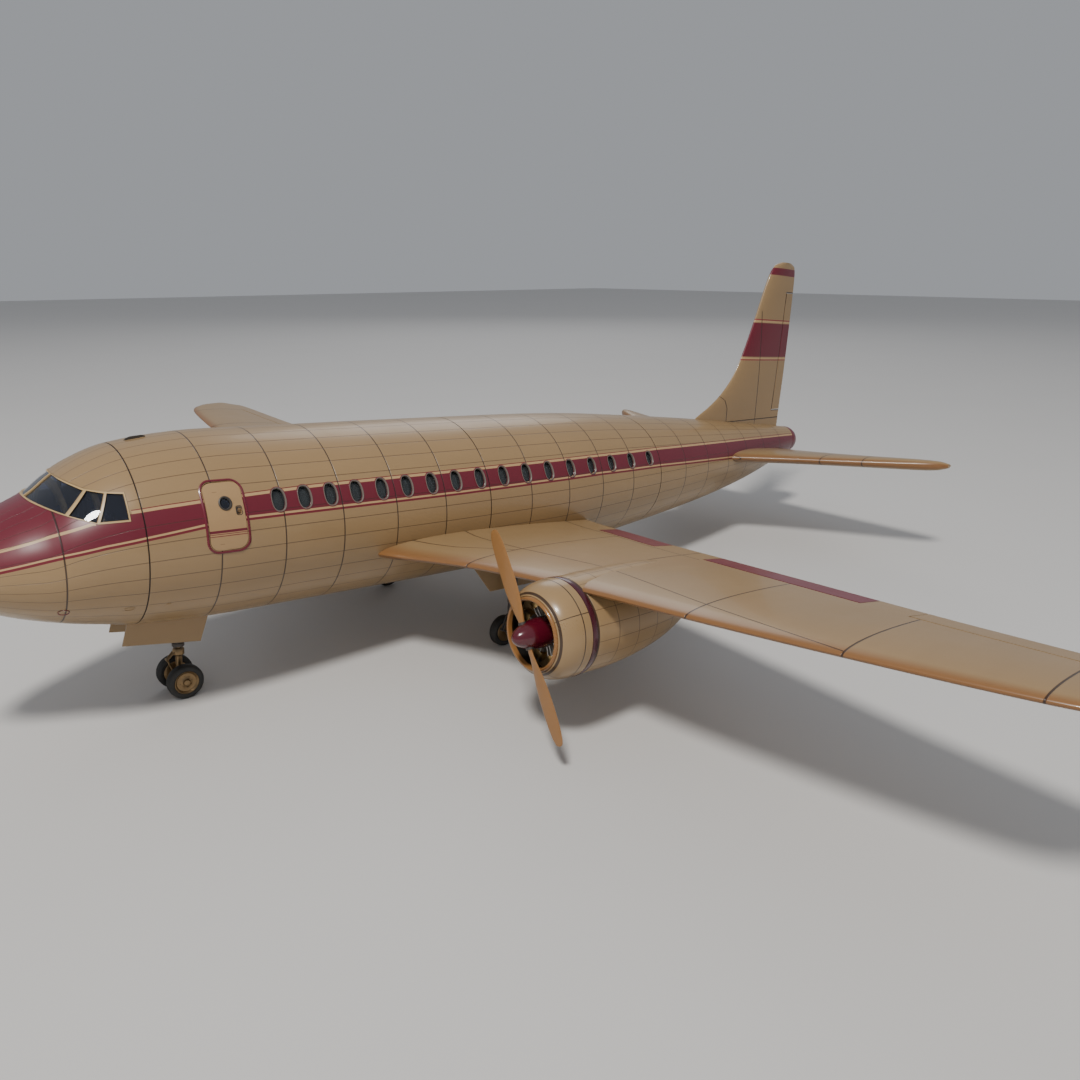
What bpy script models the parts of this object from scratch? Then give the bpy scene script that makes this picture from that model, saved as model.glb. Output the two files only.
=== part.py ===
"""Display model of a twin-engined propeller airliner on its wheels, in metres.

Lengths in this file are multiples of UNIT, the half width of the cabin. They are laid out along the
fuselage: +X runs aft from the third cabin frame, +Y to starboard and +Z up from the fuselage's axis. The
empty "airframe" carries all of it, and holds it nose high above the ground by PITCH.
"""

import math

import bmesh
import bpy
from mathutils import Matrix, Vector

UNIT = 0.050
GAP = 0.0003 / UNIT  # between two pieces that touch
WALL = 0.0015 / UNIT  # fuselage skin
PITCH = 0.0718  # radians
GROUND = 1.689  # the fuselage axis above the ground, at x = 0
AIRFRAME_X = -3.4696 * UNIT

FRAME = 0.605  # spacing of the fuselage frames
NOSE_TIP = -2.92
NOSE_SEAM = -4 * FRAME
DECK_SEAM = -2 * FRAME
CABIN_SEAM = 4 * FRAME
TAIL_SEAM = 9 * FRAME
TAIL_END = 9.60
TAIL_TIP = 9.87
AROUND = 32  # flats round the fuselage

# The fuselage's sections: x, top, bottom, half width.
PROFILE = (
    (NOSE_TIP, -0.36, -0.36, 0.0),
    (-2.42, 0.140, -0.500, 0.500),
    (-2.10, 0.335, -0.630, 0.675),
    (-1.90, 0.435, -0.695, 0.765),
    (-1.71, 0.590, -0.750, 0.840),
    (-1.50, 0.715, -0.797, 0.900),
    (-1.21, 0.825, -0.855, 0.955),
    (-0.60, 0.905, -0.905, 0.995),
    (0.00, 0.915, -0.915, 1.000),
    (3.40, 0.915, -0.915, 1.000),
    (4.50, 0.890, -0.830, 0.950),
    (5.50, 0.830, -0.725, 0.865),
    (6.50, 0.760, -0.610, 0.745),
    (7.50, 0.680, -0.470, 0.595),
    (8.50, 0.590, -0.275, 0.420),
    (TAIL_END, 0.487, 0.030, 0.225),
)

WINDOWS = 17
WINDOW_X = (-0.03, 0.2565, 0.0045)  # first window, first step, growth of the step
WINDOW_Z = 0.37
WINDOW_WIDE = 0.133
WINDOW_TALL = 0.200

DOOR_X = (-0.705, -0.365)
DOOR_Z = (-0.041, 0.618)  # measured square to the doorway, which leans in with the skin
DOOR_LEAN = -0.375
DOOR_SKIN = (-0.944, 0.270)  # y and z of the skin half way up the doorway
DOOR_CORNER = 0.085
PORTHOLE = (-0.528, 0.385, 0.050)  # x, z, radius

# The cockpit glazing seen from the side: x, z.
GLAZING = (
    (-1.92, 0.405),
    (-1.734, 0.345),
    (-1.538, 0.290),
    (-1.305, 0.305),
    (-1.300, 0.525),
    (-1.437, 0.530),
    (-1.560, 0.545),
    (-1.700, 0.600),
    (-2.05, 0.95),
    (-2.25, 0.60),
)
PANES = (
    (
        (-2.20, 0.60),
        (-2.00, 0.85),
        (-1.700, 0.580),
        (-1.583, 0.532),
        (-1.745, 0.368),
        (-1.905, 0.423),
    ),
    ((-1.557, 0.524), (-1.452, 0.511), (-1.550, 0.312), (-1.715, 0.357)),
    ((-1.425, 0.509), (-1.320, 0.505), (-1.325, 0.325), (-1.520, 0.313)),
)
POST = 0.012  # half width of the windscreen's centre post

FLOOR_Z = (-0.400, -0.370)

# The wing: distance from the centre line, leading edge, trailing edge, thickness.
WING = (
    (0.55, 0.93, 4.12, 0.260),
    (0.95, 1.01, 4.00, 0.235),
    (1.20, 1.09, 3.93, 0.190),
    (1.50, 1.22, 3.87, 0.165),
    (1.95, 1.39, 3.79, 0.155),
    (2.50, 1.50, 3.68, 0.148),
    (3.47, 1.62, 3.54, 0.140),
    (4.53, 1.69, 3.38, 0.130),
    (5.72, 1.81, 3.20, 0.120),
    (6.84, 1.97, 3.07, 0.110),
    (7.20, 2.09, 3.03, 0.100),
    (7.38, 2.28, 2.98, 0.090),
    (7.46, 2.55, 2.88, 0.080),
)
WING_Z = -0.38
DIHEDRAL = 0.077
SPAR_X = (2.00, 2.40)
SPAR_Z = (-0.500, -0.425)
SPAR_HALF = 1.25

# Trailing edge surfaces: name, inner and outer end of the hinge line from the centre line.
# The last number is how far the hinge lies under the middle of the wing's section.
SURFACES = (
    ("inner_flap", 1.55, 2.58, 0.045),
    ("outer_flap", 3.30, 5.12, 0.036),
    ("aileron", 5.55, 6.85, 0.0),
)
HINGE_BACK = 0.27  # hinge line ahead of the trailing edge
HINGE_GAP = 0.020

ENGINE_Y = 3.13
ENGINE_Z = -0.507
PROP_X = 1.166
PROP_RADIUS = 0.97
PROP_ANGLE = 1.019  # the blades from the wing's direction, radians
BLADE = (  # distance from the hub, chord, thickness, twist in radians
    (0.03, 0.060, 0.060, -0.60),
    (0.15, 0.064, 0.056, -0.58),
    (0.25, 0.110, 0.036, -0.45),
    (0.45, 0.168, 0.026, -0.36),
    (0.70, 0.172, 0.018, -0.30),
    (0.87, 0.146, 0.013, -0.22),
    (0.95, 0.096, 0.010, -0.20),
    (PROP_RADIUS, 0.040, 0.008, -0.20),
)
SPINNER_X = (1.02, 1.37)
SPINNER_RADIUS = 0.137
COWL_X = (1.22, 1.60)
LIP_RADIUS = 0.342
LIP_HOLE = 0.285
COWL_RADIUS = 0.450
CYLINDERS = 9
SHAFT_RADIUS = 0.025

TYRE_RADIUS = 0.176
TYRE_FLATS = 24
TYRE_WIDE = 0.105
RIM_RADIUS = 0.118
AXLE_RADIUS = 0.022
NOSE_GEAR_X = -0.720
NOSE_TRACK = 0.155  # wheel from its leg
MAIN_GEAR_X = 2.457
MAIN_GEAR_Y = 1.265  # middle of the wheel
MAIN_LEG = 0.135  # leg outboard of its wheel
BAY_X = (-1.25, -0.50)
BAY_HALF = 0.20

FIN = (  # height, leading edge, trailing edge
    (0.30, 6.70, 9.38),
    (0.72, 7.15, 9.38),
    (0.85, 7.40, 9.38),
    (1.04, 7.69, 9.385),
    (1.30, 7.95, 9.39),
    (1.64, 8.15, 9.39),
    (2.20, 8.38, 9.385),
    (2.80, 8.60, 9.37),
    (3.00, 8.70, 9.355),
    (3.10, 8.80, 9.32),
    (3.15, 8.95, 9.22),
)
RUDDER_X = 9.15
RUDDER_Z = (0.79, 2.69)

STABILISER = (  # distance from the centre line, leading edge, trailing edge, thickness
    (0.15, 7.10, 9.24, 0.187),
    (0.60, 7.36, 9.21, 0.184),
    (1.20, 7.77, 9.17, 0.171),
    (2.00, 8.20, 9.13, 0.161),
    (2.80, 8.62, 9.09, 0.155),
    (3.06, 8.77, 9.06, 0.130),
    (3.18, 8.90, 9.00, 0.060),
)
STABILISER_Z = (0.14, 0.075)  # height at the centre line, rise per unit of span
ELEVATOR = (0.75, 2.95)
ELEVATOR_BACK = 0.25
ELEVATOR_GAP = 0.030

# ---------------------------------------------------------------- materials


def paint(name, colour, roughness, metallic=0.0, alpha=1.0):
    material = bpy.data.materials.new(name)
    material.use_nodes = True
    shader = material.node_tree.nodes["Principled BSDF"]
    shader.inputs["Base Color"].default_value = (*colour, 1.0)
    shader.inputs["Roughness"].default_value = roughness
    shader.inputs["Metallic"].default_value = metallic
    shader.inputs["Alpha"].default_value = alpha
    return material


# ---------------------------------------------------------------- mesh helpers


def clear_scene():
    for item in list(bpy.data.objects):
        bpy.data.objects.remove(item, do_unlink=True)


def empty(name, parent=None):
    item = bpy.data.objects.new(name, None)
    item.empty_display_size = UNIT
    item.parent = parent
    bpy.context.scene.collection.objects.link(item)
    return item


def mesh_of(name, points, faces):
    mesh = bpy.data.meshes.new(name)
    mesh.from_pydata([Vector(p) * UNIT for p in points], [], faces)
    work = bmesh.new()
    work.from_mesh(mesh)
    bmesh.ops.remove_doubles(work, verts=work.verts, dist=1e-7)
    bmesh.ops.recalc_face_normals(work, faces=work.faces)
    work.to_mesh(mesh)
    work.free()
    mesh.shade_smooth()
    mesh.set_sharp_from_angle(angle=math.radians(32))
    return mesh


def add(name, mesh, material=None, pivot=(0, 0, 0)):
    """Puts a mesh on the airframe. The pivot becomes the object's origin: a point of the joint's axis."""
    if any(pivot):
        mesh.transform(Matrix.Translation(-Vector(pivot) * UNIT))
    item = bpy.data.objects.new(name, mesh)
    if material:
        mesh.materials.clear()
        mesh.materials.append(material)
    item.location = Vector(pivot) * UNIT
    item.parent = AIRFRAME
    bpy.context.scene.collection.objects.link(item)
    return item


def helper(name, mesh):
    """A cutter or a shape to join: it isn't a part."""
    item = add(name, mesh)
    item.hide_render = True
    item.display_type = "WIRE"
    return item


def combine(item, other, operation):
    step = item.modifiers.new(other.name, "BOOLEAN")
    step.operation = operation
    step.object = other
    return item


def cut(item, other):
    return combine(item, other, "DIFFERENCE")


def keep(item, other):
    return combine(item, other, "INTERSECT")


def join(item, other):
    return combine(item, other, "UNION")


def loft(rings, wrap=False):
    """Points and faces of a skin over closed rings. With wrap the last ring meets the first."""
    count = len(rings[0])
    points = [p for ring in rings for p in ring]
    faces = []
    for i in range(len(rings) if wrap else len(rings) - 1):
        here = i * count
        there = (i + 1) % len(rings) * count
        for k in range(count):
            step = (k + 1) % count
            faces.append((here + k, here + step, there + step, there + k))
    if not wrap:
        faces.append(tuple(range(count)))
        faces.append(tuple(range(len(points) - count, len(points))))
    return points, faces


def lofted(name, rings, wrap=False):
    return mesh_of(name, *loft(rings, wrap))


def box(name, x, y, z):
    corners = ((0, 0), (1, 0), (1, 1), (0, 1))
    return lofted(name, [[(x[i], y[j], z[k]) for j, k in corners] for i in (0, 1)])


def prism(name, outline, low, high, lean=0.0, about=0.0):
    """An outline of (x, z) points drawn through along Y, or along a line that leans from it."""
    return lofted(name, [[(x, y, z + lean * (y - about)) for x, z in outline] for y in (low, high)])


def oval(x, z, wide, tall, count=16, power=2.0):
    points = []
    for k in range(count):
        c = math.cos(math.tau * k / count)
        s = math.sin(math.tau * k / count)
        across = math.copysign(abs(c) ** (2 / power), c)
        up = math.copysign(abs(s) ** (2 / power), s)
        points.append((x + wide / 2 * across, z + tall / 2 * up))
    return points


def rounded(x, z, corner, count=5):
    """A rounded rectangle between two x and two z."""
    points = []
    centres = ((x[1], z[1], 1, 1), (x[0], z[1], -1, 1), (x[0], z[0], -1, -1), (x[1], z[0], 1, -1))
    for quarter, (cx, cz, sx, sz) in enumerate(centres):
        for k in range(count):
            angle = math.pi / 2 * (quarter + k / (count - 1))
            across = cx - sx * corner + corner * math.cos(angle)
            points.append((across, cz - sz * corner + corner * math.sin(angle)))
    return points


def turned(name, profile, centre, count=32, axis="X", wrap=False, start=0.0):
    """A profile of (along, radius) points turned about an axis through centre."""
    rings = []
    for along, radius in profile:
        ring = []
        for k in range(count):
            a = start + math.tau * k / count
            c = radius * math.cos(a)
            s = radius * math.sin(a)
            offset = {"X": (along, c, s), "Y": (c, along, s), "Z": (c, s, along)}[axis]
            ring.append(tuple(m + n for m, n in zip(centre, offset)))
        rings.append(ring)
    return lofted(name, rings, wrap)


def rod(name, start, end, radius, count=12):
    """A round bar between two points."""
    start = Vector(start)
    along = Vector(end) - start
    turn = along.to_track_quat("Z", "Y")
    rings = []
    for far in (0.0, along.length):
        ring = [Vector((math.cos(a) * radius, math.sin(a) * radius, far)) for a in circle(count)]
        rings.append([tuple(start + turn @ p) for p in ring])
    return lofted(name, rings)


def circle(count):
    return [math.tau * k / count for k in range(count)]


def smooth(table, at, key=lambda x: x):
    """A curve through the rows of a table, read at one place of its first column."""
    keys = [key(row[0]) for row in table]
    at = key(at)
    i = max(k for k in range(len(keys) - 1) if k == 0 or keys[k] <= at)
    span = keys[i + 1] - keys[i]
    t = (at - keys[i]) / span
    values = []
    for column in range(1, len(table[0])):
        y = [row[column] for row in table]

        def slope(k):
            low = max(k - 1, 0)
            high = min(k + 1, len(keys) - 1)
            return (y[high] - y[low]) / (keys[high] - keys[low])

        a = (2 * t**3 - 3 * t**2 + 1) * y[i] + (t**3 - 2 * t**2 + t) * span * slope(i)
        b = (3 * t**2 - 2 * t**3) * y[i + 1] + (t**3 - t**2) * span * slope(i + 1)
        values.append(a + b)
    return values


def spread(low, high, count):
    return [low + (high - low) * k / (count - 1) for k in range(count)]


def airfoil(chord, thick, count=7):
    """A symmetric section as (along, up) points from the trailing edge over the top and back below."""
    upper = []
    for k in range(count):
        x = 0.5 + 0.5 * math.cos(math.pi * k / (count - 1))
        half = 0.2969 * math.sqrt(x) - 0.126 * x - 0.3516 * x**2 + 0.2843 * x**3 - 0.1036 * x**4
        upper.append((x * chord, 5 * thick * (half + 0.0006)))
    lower = [(x, -up) for x, up in reversed(upper)][1:]
    upper[-1] = (0.0, 0.0)
    return upper + lower


# ---------------------------------------------------------------- fuselage


def skin(x, angle, grow=0.0):
    """A point of the fuselage's skin, at an angle from starboard over the top."""
    top, bottom, half = smooth(PROFILE, x, lambda v: math.sqrt(max(v - NOSE_TIP, 0)))
    middle = (top + bottom) / 2
    tall = (top - bottom) / 2 + grow
    return (x, (half + grow) * math.cos(angle), middle + tall * math.sin(angle))


def skin_ring(x, grow=0.0):
    return [skin(x, a, grow) for a in circle(AROUND)]


def half_width_at(x, z, grow):
    top, bottom, half = smooth(PROFILE, x, lambda v: math.sqrt(max(v - NOSE_TIP, 0)))
    rise = (z - (top + bottom) / 2) / ((top - bottom) / 2 + grow)
    return (half + grow) * math.sqrt(max(1 - rise**2, 0))


def shell(name, stations, outer=0.0, inner=-WALL):
    rings = [skin_ring(x, outer) for x in stations]
    rings += [skin_ring(x, inner) for x in reversed(stations)]
    return lofted(name, rings, wrap=True)


def between(low, high, count):
    """Stations of one fuselage section, half a gap inside its seams."""
    return spread(low + GAP / 2, high - GAP / 2, count)


def sections():
    """The stations of each length of fuselage shell."""
    return {
        "flight_deck_shell": between(NOSE_SEAM, DECK_SEAM, 8),
        "forward_cabin_shell": spread(DECK_SEAM + GAP / 2, 0.0, 5) + [CABIN_SEAM - GAP / 2],
        "aft_cabin_shell": [CABIN_SEAM + GAP / 2, 3.1, 3.7, 4.3, 4.9, TAIL_SEAM - GAP / 2],
        "tail_shell": between(TAIL_SEAM, TAIL_END, 6),
    }


def window_centres():
    first, step, growth = WINDOW_X
    return [first + step * k + growth * k * k for k in range(WINDOWS)]


def window_cutters():
    points = []
    faces = []
    for x in window_centres():
        outline = oval(x, WINDOW_Z, WINDOW_WIDE, WINDOW_TALL, 12, 2.4)
        more, sides = loft([[(a, y, b) for a, b in outline] for y in (-1.2, 1.2)])
        faces += [tuple(k + len(points) for k in face) for face in sides]
        points += more
    return helper("window_cutters", mesh_of("window_cutters", points, faces))


def make_fuselage(tan, crimson, glass, iron, dark):
    nose_length = NOSE_SEAM - GAP / 2 - NOSE_TIP
    nose_stations = [NOSE_TIP + nose_length * (0.07 + 0.93 * k / 5) ** 2 for k in range(6)]
    outside = [skin_ring(x) for x in nose_stations]
    inside = [skin_ring(x, -WALL) for x in nose_stations[:2:-1]]
    add("nose_cone", lofted("nose_cone", outside + inside), crimson)
    ballast = [skin_ring(x, -0.062) for x in spread(-2.70, -2.10, 4)]
    add("nose_ballast", lofted("nose_ballast", ballast), iron)

    shells = []
    for name, stations in sections().items():
        shells.append(add(name, shell(name, stations), tan))
    deck, forward, aft, _ = shells

    openings = window_cutters()
    cut(forward, openings)
    cut(aft, openings)
    bay = helper("bay_cutter", box("bay_cutter", BAY_X, (-BAY_HALF, BAY_HALF), (-1.2, -0.6)))
    cut(deck, bay)
    cut(forward, bay)
    slot = [(x[0] - GAP, x[1] + GAP) for x in (SPAR_X, (-SPAR_HALF, SPAR_HALF), SPAR_Z)]
    spar = helper("spar_cutter", box("spar_cutter", *slot))
    cut(forward, spar)

    make_tail_cap(crimson, glass)
    make_floor(tan)
    make_cabin_glazing(glass)
    make_cockpit(deck, tan, glass)
    make_door(forward, tan, glass, dark)
    return spar


def make_tail_cap(crimson, glass):
    top, bottom, half = smooth(PROFILE, TAIL_END, lambda v: math.sqrt(max(v - NOSE_TIP, 0)))
    middle = (top + bottom) / 2
    rings = []
    for angle in spread(0.0, math.pi / 2 - 0.12, 5):
        x = TAIL_END + GAP / 2 + (TAIL_TIP - TAIL_END) * math.sin(angle)
        share = math.cos(angle)
        rings.append([
            (x, half * share * math.cos(a), middle + (top - bottom) / 2 * share * math.sin(a))
            for a in circle(AROUND)
        ])
    cap = add("tail_cap", lofted("tail_cap", rings), crimson)
    seat = (TAIL_TIP - 0.03, 0.0, 0.15)
    socket = turned("light_socket", [(-0.20, 0.036), (0.20, 0.036)], seat, 14)
    cut(cap, helper("light_socket", socket))
    dome = [(-0.05, 0.03), (0.03, 0.03), (0.045, 0.02), (0.05, 0.008)]
    add("tail_light", turned("tail_light", dome, seat, 12), glass)


def make_floor(tan):
    stations = [-1.85, -1.6, -1.3, -0.9, -0.4, 0.4, 1.4, 2.4, 3.4, 4.4, 5.2]
    rings = []
    for x in stations:
        half = half_width_at(x, FLOOR_Z[0], -WALL) - 2 * GAP
        low, high = FLOOR_Z
        rings.append([(x, -half, low), (x, half, low), (x, half, high), (x, -half, high)])
    add("cabin_floor", lofted("cabin_floor", rings), tan)


def make_cabin_glazing(glass):
    stations = [-0.18, 2.4, 3.2, 4.0, 4.7, 5.35]
    for side, sign in (("port", -1), ("starboard", 1)):
        name = "cabin_glazing_" + side
        strip = add(name, shell(name, stations, -WALL - GAP, -WALL - GAP - 0.016), glass)
        reach = sorted((0.5 * sign, 1.2 * sign))
        blank = box(name + "_blank", (-0.15, 5.34), reach, (WINDOW_Z - 0.13, WINDOW_Z + 0.13))
        keep(strip, helper(name + "_blank", blank))


def make_cockpit(deck, tan, glass):
    opening = helper("glazing_cutter", prism("glazing_cutter", GLAZING, -1.2, 1.2))
    cut(deck, opening)
    middle_x = sum(x for x, z in GLAZING) / len(GLAZING)
    middle_z = sum(z for x, z in GLAZING) / len(GLAZING)

    def shrunk(by):
        points = []
        for x, z in GLAZING:
            away = Vector((x - middle_x, z - middle_z))
            points.append((x - by * away.x / away.length, z - by * away.y / away.length))
        return points

    stations = spread(-2.05, -1.25, 8)
    frame = add("cockpit_frame", shell("cockpit_frame", stations), tan)
    keep(frame, helper("frame_blank", prism("frame_blank", shrunk(GAP * 1.4), -1.2, 1.2)))
    for number, pane in enumerate(PANES):
        for side, low, high in (("port", -1.2, -POST), ("starboard", POST, 1.2)):
            name = f"pane_{number}_{side}"
            cut(frame, helper(name, prism(name, pane, low, high)))
    inner = add("cockpit_glass", shell("cockpit_glass", stations, -WALL - GAP, -WALL - GAP - 0.016), glass)
    keep(inner, helper("glass_blank", prism("glass_blank", shrunk(-0.012), -1.2, 1.2)))


def make_door(forward, tan, glass, dark):
    hole = rounded(
        (DOOR_X[0] - GAP, DOOR_X[1] + 3 * GAP),
        (DOOR_Z[0] - GAP, DOOR_Z[1] + GAP),
        DOOR_CORNER + GAP,
    )
    cut(forward, helper("door_hole", prism("door_hole", hole, -1.2, -0.5, DOOR_LEAN, DOOR_SKIN[0])))
    stations = spread(-0.80, -0.28, 4)
    hinge = (DOOR_X[0] + 0.012, *DOOR_SKIN)
    outline = rounded(DOOR_X, DOOR_Z, DOOR_CORNER)
    blank = helper("door_blank", prism("door_blank", outline, -1.2, -0.5, DOOR_LEAN, DOOR_SKIN[0]))
    x, z, radius = PORTHOLE
    porthole = oval(x, z, 2 * radius, 2 * radius)
    light = helper("porthole_cutter", prism("porthole_cutter", porthole, -1.2, -0.5))
    recess = helper("handle_recess", box("handle_recess", (-0.436, -0.394), (-1.2, -0.922), (0.295, 0.365)))

    door = add("passenger_door", shell("passenger_door", stations, 0.004), tan, hinge)
    keep(door, blank)
    cut(door, light)
    cut(door, recess)
    pane = add("door_window", shell("door_window", stations, -0.002, -WALL + 0.006), glass, hinge)
    inside = oval(x, z, 2 * (radius - GAP), 2 * (radius - GAP))
    keep(pane, helper("porthole_blank", prism("porthole_blank", inside, -1.2, -0.5)))
    grip = box("door_handle", (-0.428, -0.402), (-0.948, -0.929), (0.303, 0.357))
    add("door_handle", grip, dark, hinge)


# ---------------------------------------------------------------- wing and engines


def wing_rings(sign, grow=0.0):
    rings = []
    for y, lead, trail, thick in WING:
        chord = trail - lead + 2 * grow
        section = airfoil(chord, thick + 2 * grow / chord, 9)
        height = WING_Z + DIHEDRAL * y
        rings.append([(lead - grow + x, sign * y, height + up) for x, up in section])
    return rings


def hinge_point(y):
    trail = smooth(WING, y)[1]
    return Vector((trail - HINGE_BACK, y, WING_Z + DIHEDRAL * y))


def hinge_box(name, start, end, sign, slack, depth=0.6, ahead=0.0):
    """A block behind a hinge line, square to it. Slack widens it at both ends."""
    along = (end - start).normalized()
    back = Vector((1, 0, 0))
    back = (back - along * back.dot(along)).normalized()
    up = along.cross(back)
    rings = []
    for far in (-slack, (end - start).length + slack):
        ring = []
        for b, u in ((ahead, -0.3), (depth, -0.3), (depth, 0.3), (ahead, 0.3)):
            p = start + along * far + back * b + up * u
            ring.append((p.x, sign * p.y, p.z))
        rings.append(ring)
    return helper(name, lofted(name, rings))


def make_wing(side, sign, body, spar, tan, crimson):
    blank = wing_rings(sign)
    wing = add("wing_" + side, lofted("wing_" + side, blank), tan)
    cut(wing, body)
    cut(wing, spar)
    for name, inner, outer, drop in SURFACES:
        start = hinge_point(inner)
        end = hinge_point(outer)
        label = f"{name}_{side}"
        cut(wing, hinge_box(label + "_bay", start, end, sign, 2 * GAP))
        pivot = start + Vector((HINGE_GAP, 0, -drop))
        pivot.y *= sign
        colour = tan if name == "aileron" else crimson
        piece = add(label, lofted(label, blank), colour, tuple(pivot))
        keep(piece, hinge_box(label + "_blank", start, end, sign, 0.0, 0.6, HINGE_GAP))
    return wing


def make_engine(side, sign, wing, wing_block, tan, metal):
    centre = (0.0, sign * ENGINE_Y, ENGINE_Z)
    body = [(1.50, 0.10), (1.50, 0.405), (COWL_X[1] + GAP, 0.405), (COWL_X[1] + GAP, 0.447), (1.9, 0.452)]
    body += [(2.3, 0.435), (2.7, 0.385), (3.05, 0.285), (3.3, 0.15), (3.42, 0.04)]
    rings = []
    for x, radius in body:
        middle = ENGINE_Z + 0.15 * max(0.0, (x - 1.9) / 1.5) ** 1.8
        y = centre[1]
        rings.append([(x, y + radius * math.cos(a), middle + radius * math.sin(a)) for a in circle(28)])
    nacelle = add("nacelle_" + side, lofted("nacelle_" + side, rings), tan)
    cut(nacelle, wing_block)
    room = [(1.3, COWL_RADIUS + GAP), (COWL_X[1] + GAP, COWL_RADIUS + GAP)]
    cut(wing, helper("cowl_room_" + side, turned("cowl_room_" + side, room, centre, 28)))

    front, back = COWL_X
    ring = [(front, LIP_HOLE), (front - 0.012, (LIP_RADIUS + LIP_HOLE) / 2), (front, LIP_RADIUS)]
    ring += [(front + 0.07, 0.400), (front + 0.16, 0.433), (front + 0.28, COWL_RADIUS)]
    ring += [(back, COWL_RADIUS - 0.004), (back, 0.413), (front + 0.16, 0.400), (front + 0.05, 0.330)]
    cowl = turned("cowl_" + side, ring, centre, 28, wrap=True)
    add("cowl_" + side, cowl, tan)

    case = [(1.385, 0.05), (1.385, 0.10), (1.42, 0.125), (1.494, 0.125), (1.494, SHAFT_RADIUS + GAP)]
    case += [(1.385, SHAFT_RADIUS + GAP)]
    engine = add("engine_" + side, turned("engine_" + side, case, centre, 16, wrap=True), metal)
    points = []
    faces = []
    for k in range(CYLINDERS):
        angle = math.tau * (k + 0.25) / CYLINDERS
        more, sides = cylinder_rings(centre, angle)
        faces += [tuple(i + len(points) for i in face) for face in sides]
        points += more
    join(engine, helper("cylinders_" + side, mesh_of("cylinders_" + side, points, faces)))


def cylinder_rings(centre, angle):
    """One cylinder of the radial engine: a barrel with a wider head."""
    out = Vector((0, math.cos(angle), math.sin(angle)))
    across = Vector((0, -math.sin(angle), math.cos(angle)))
    along = Vector((1, 0, 0))
    middle = Vector(centre) + along * 1.44
    rings = []
    for far, size in ((0.11, 0.040), (0.27, 0.040), (0.275, 0.050), (0.36, 0.046)):
        centre_line = middle + out * far
        ring = [centre_line + size * (along * math.cos(a) + across * math.sin(a)) for a in circle(6)]
        rings.append([tuple(p) for p in ring])
    return loft(rings)


def make_propeller(side, sign, tan, crimson):
    centre = Vector((PROP_X, sign * ENGINE_Y, ENGINE_Z))
    profile = [(-0.055, 0.02), (-0.055, 0.05), (0.055, 0.05), (0.055, SHAFT_RADIUS), (0.32, SHAFT_RADIUS)]
    hub = turned("propeller_" + side, profile, tuple(centre), 16)
    prop = add("propeller_" + side, hub, tan, tuple(centre))
    for number, angle in enumerate((PROP_ANGLE, PROP_ANGLE + math.pi)):
        name = f"blade_{number}_{side}"
        join(prop, helper(name, lofted(name, blade_rings(centre, angle))))

    low, high = SPINNER_X
    outer = []
    inner = [(low + 0.05 - PROP_X, 0.004)]
    for share in (0.02, 0.12, 0.32, 0.62, 1.0):
        along = low + (high - low) * share - PROP_X
        radius = SPINNER_RADIUS * (1 - (1 - share) ** 2) ** 0.5
        outer.append((along, radius))
        if share > 0.2:
            inner.append((along, radius - 0.02))
    profile = outer + list(reversed(inner))
    shape = turned("spinner_" + side, profile, tuple(centre), 20)
    spinner = add("spinner_" + side, shape, crimson, tuple(centre))
    name = "shank_holes_" + side
    out = Vector((0, math.cos(PROP_ANGLE), math.sin(PROP_ANGLE)))
    cut(spinner, helper(name, rod(name, centre - out * 0.3, centre + out * 0.3, 0.040)))


def blade_rings(centre, angle):
    """A twisted blade, from its shank in the hub to its round tip."""
    out = Vector((0, math.cos(angle), math.sin(angle)))
    side = Vector((0, -math.sin(angle), math.cos(angle)))
    forward = Vector((-1, 0, 0))
    rings = []
    for far, chord, thick, twist in BLADE:
        across = side * math.cos(twist) + forward * math.sin(twist)
        normal = out.cross(across)
        ring = []
        for a in circle(10):
            section = across * chord / 2 * math.cos(a) + normal * thick / 2 * math.sin(a)
            ring.append(tuple(centre + out * far + section))
        rings.append(ring)
    return rings


# ---------------------------------------------------------------- tail


def make_tail(body, tan):
    rings = []
    for z, lead, trail in FIN:
        chord = trail - lead
        section = airfoil(chord, min(0.10, 0.15 / chord), 7)
        rings.append([(lead + x, up, z) for x, up in section])
    fin = add("fin", lofted("fin", rings), tan)
    cut(fin, body)
    bay = box("rudder_bay", (RUDDER_X, 9.8), (-0.3, 0.3), (RUDDER_Z[0] - GAP, RUDDER_Z[1] + GAP))
    cut(fin, helper("rudder_bay", bay))
    pivot = (RUDDER_X + HINGE_GAP, 0.0, RUDDER_Z[0])
    rudder = add("rudder", lofted("rudder", rings), tan, pivot)
    keep(rudder, helper("rudder_blank", box("rudder_blank", (pivot[0], 9.8), (-0.3, 0.3), RUDDER_Z)))

    for side, sign in (("port", -1), ("starboard", 1)):
        rings = []
        for y, lead, trail, thick in STABILISER:
            section = airfoil(trail - lead, thick, 7)
            height = STABILISER_Z[0] + STABILISER_Z[1] * y
            rings.append([(lead + x, sign * y, height + up) for x, up in section])
        name = "stabiliser_" + side
        plane = add(name, lofted(name, rings), tan)
        cut(plane, body)
        ends = []
        for y in ELEVATOR:
            trail = smooth(STABILISER, y)[1]
            ends.append(Vector((trail - ELEVATOR_BACK, y, STABILISER_Z[0] + STABILISER_Z[1] * y)))
        cut(plane, hinge_box(f"elevator_{side}_bay", *ends, sign, 2 * GAP))
        pivot = ends[0] + Vector((ELEVATOR_GAP, 0, 0))
        pivot.y *= sign
        piece = add("elevator_" + side, lofted("elevator_" + side, rings), tan, tuple(pivot))
        keep(piece, hinge_box(f"elevator_{side}_blank", *ends, sign, 0.0, 0.6, ELEVATOR_GAP))


# ---------------------------------------------------------------- undercarriage


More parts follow.
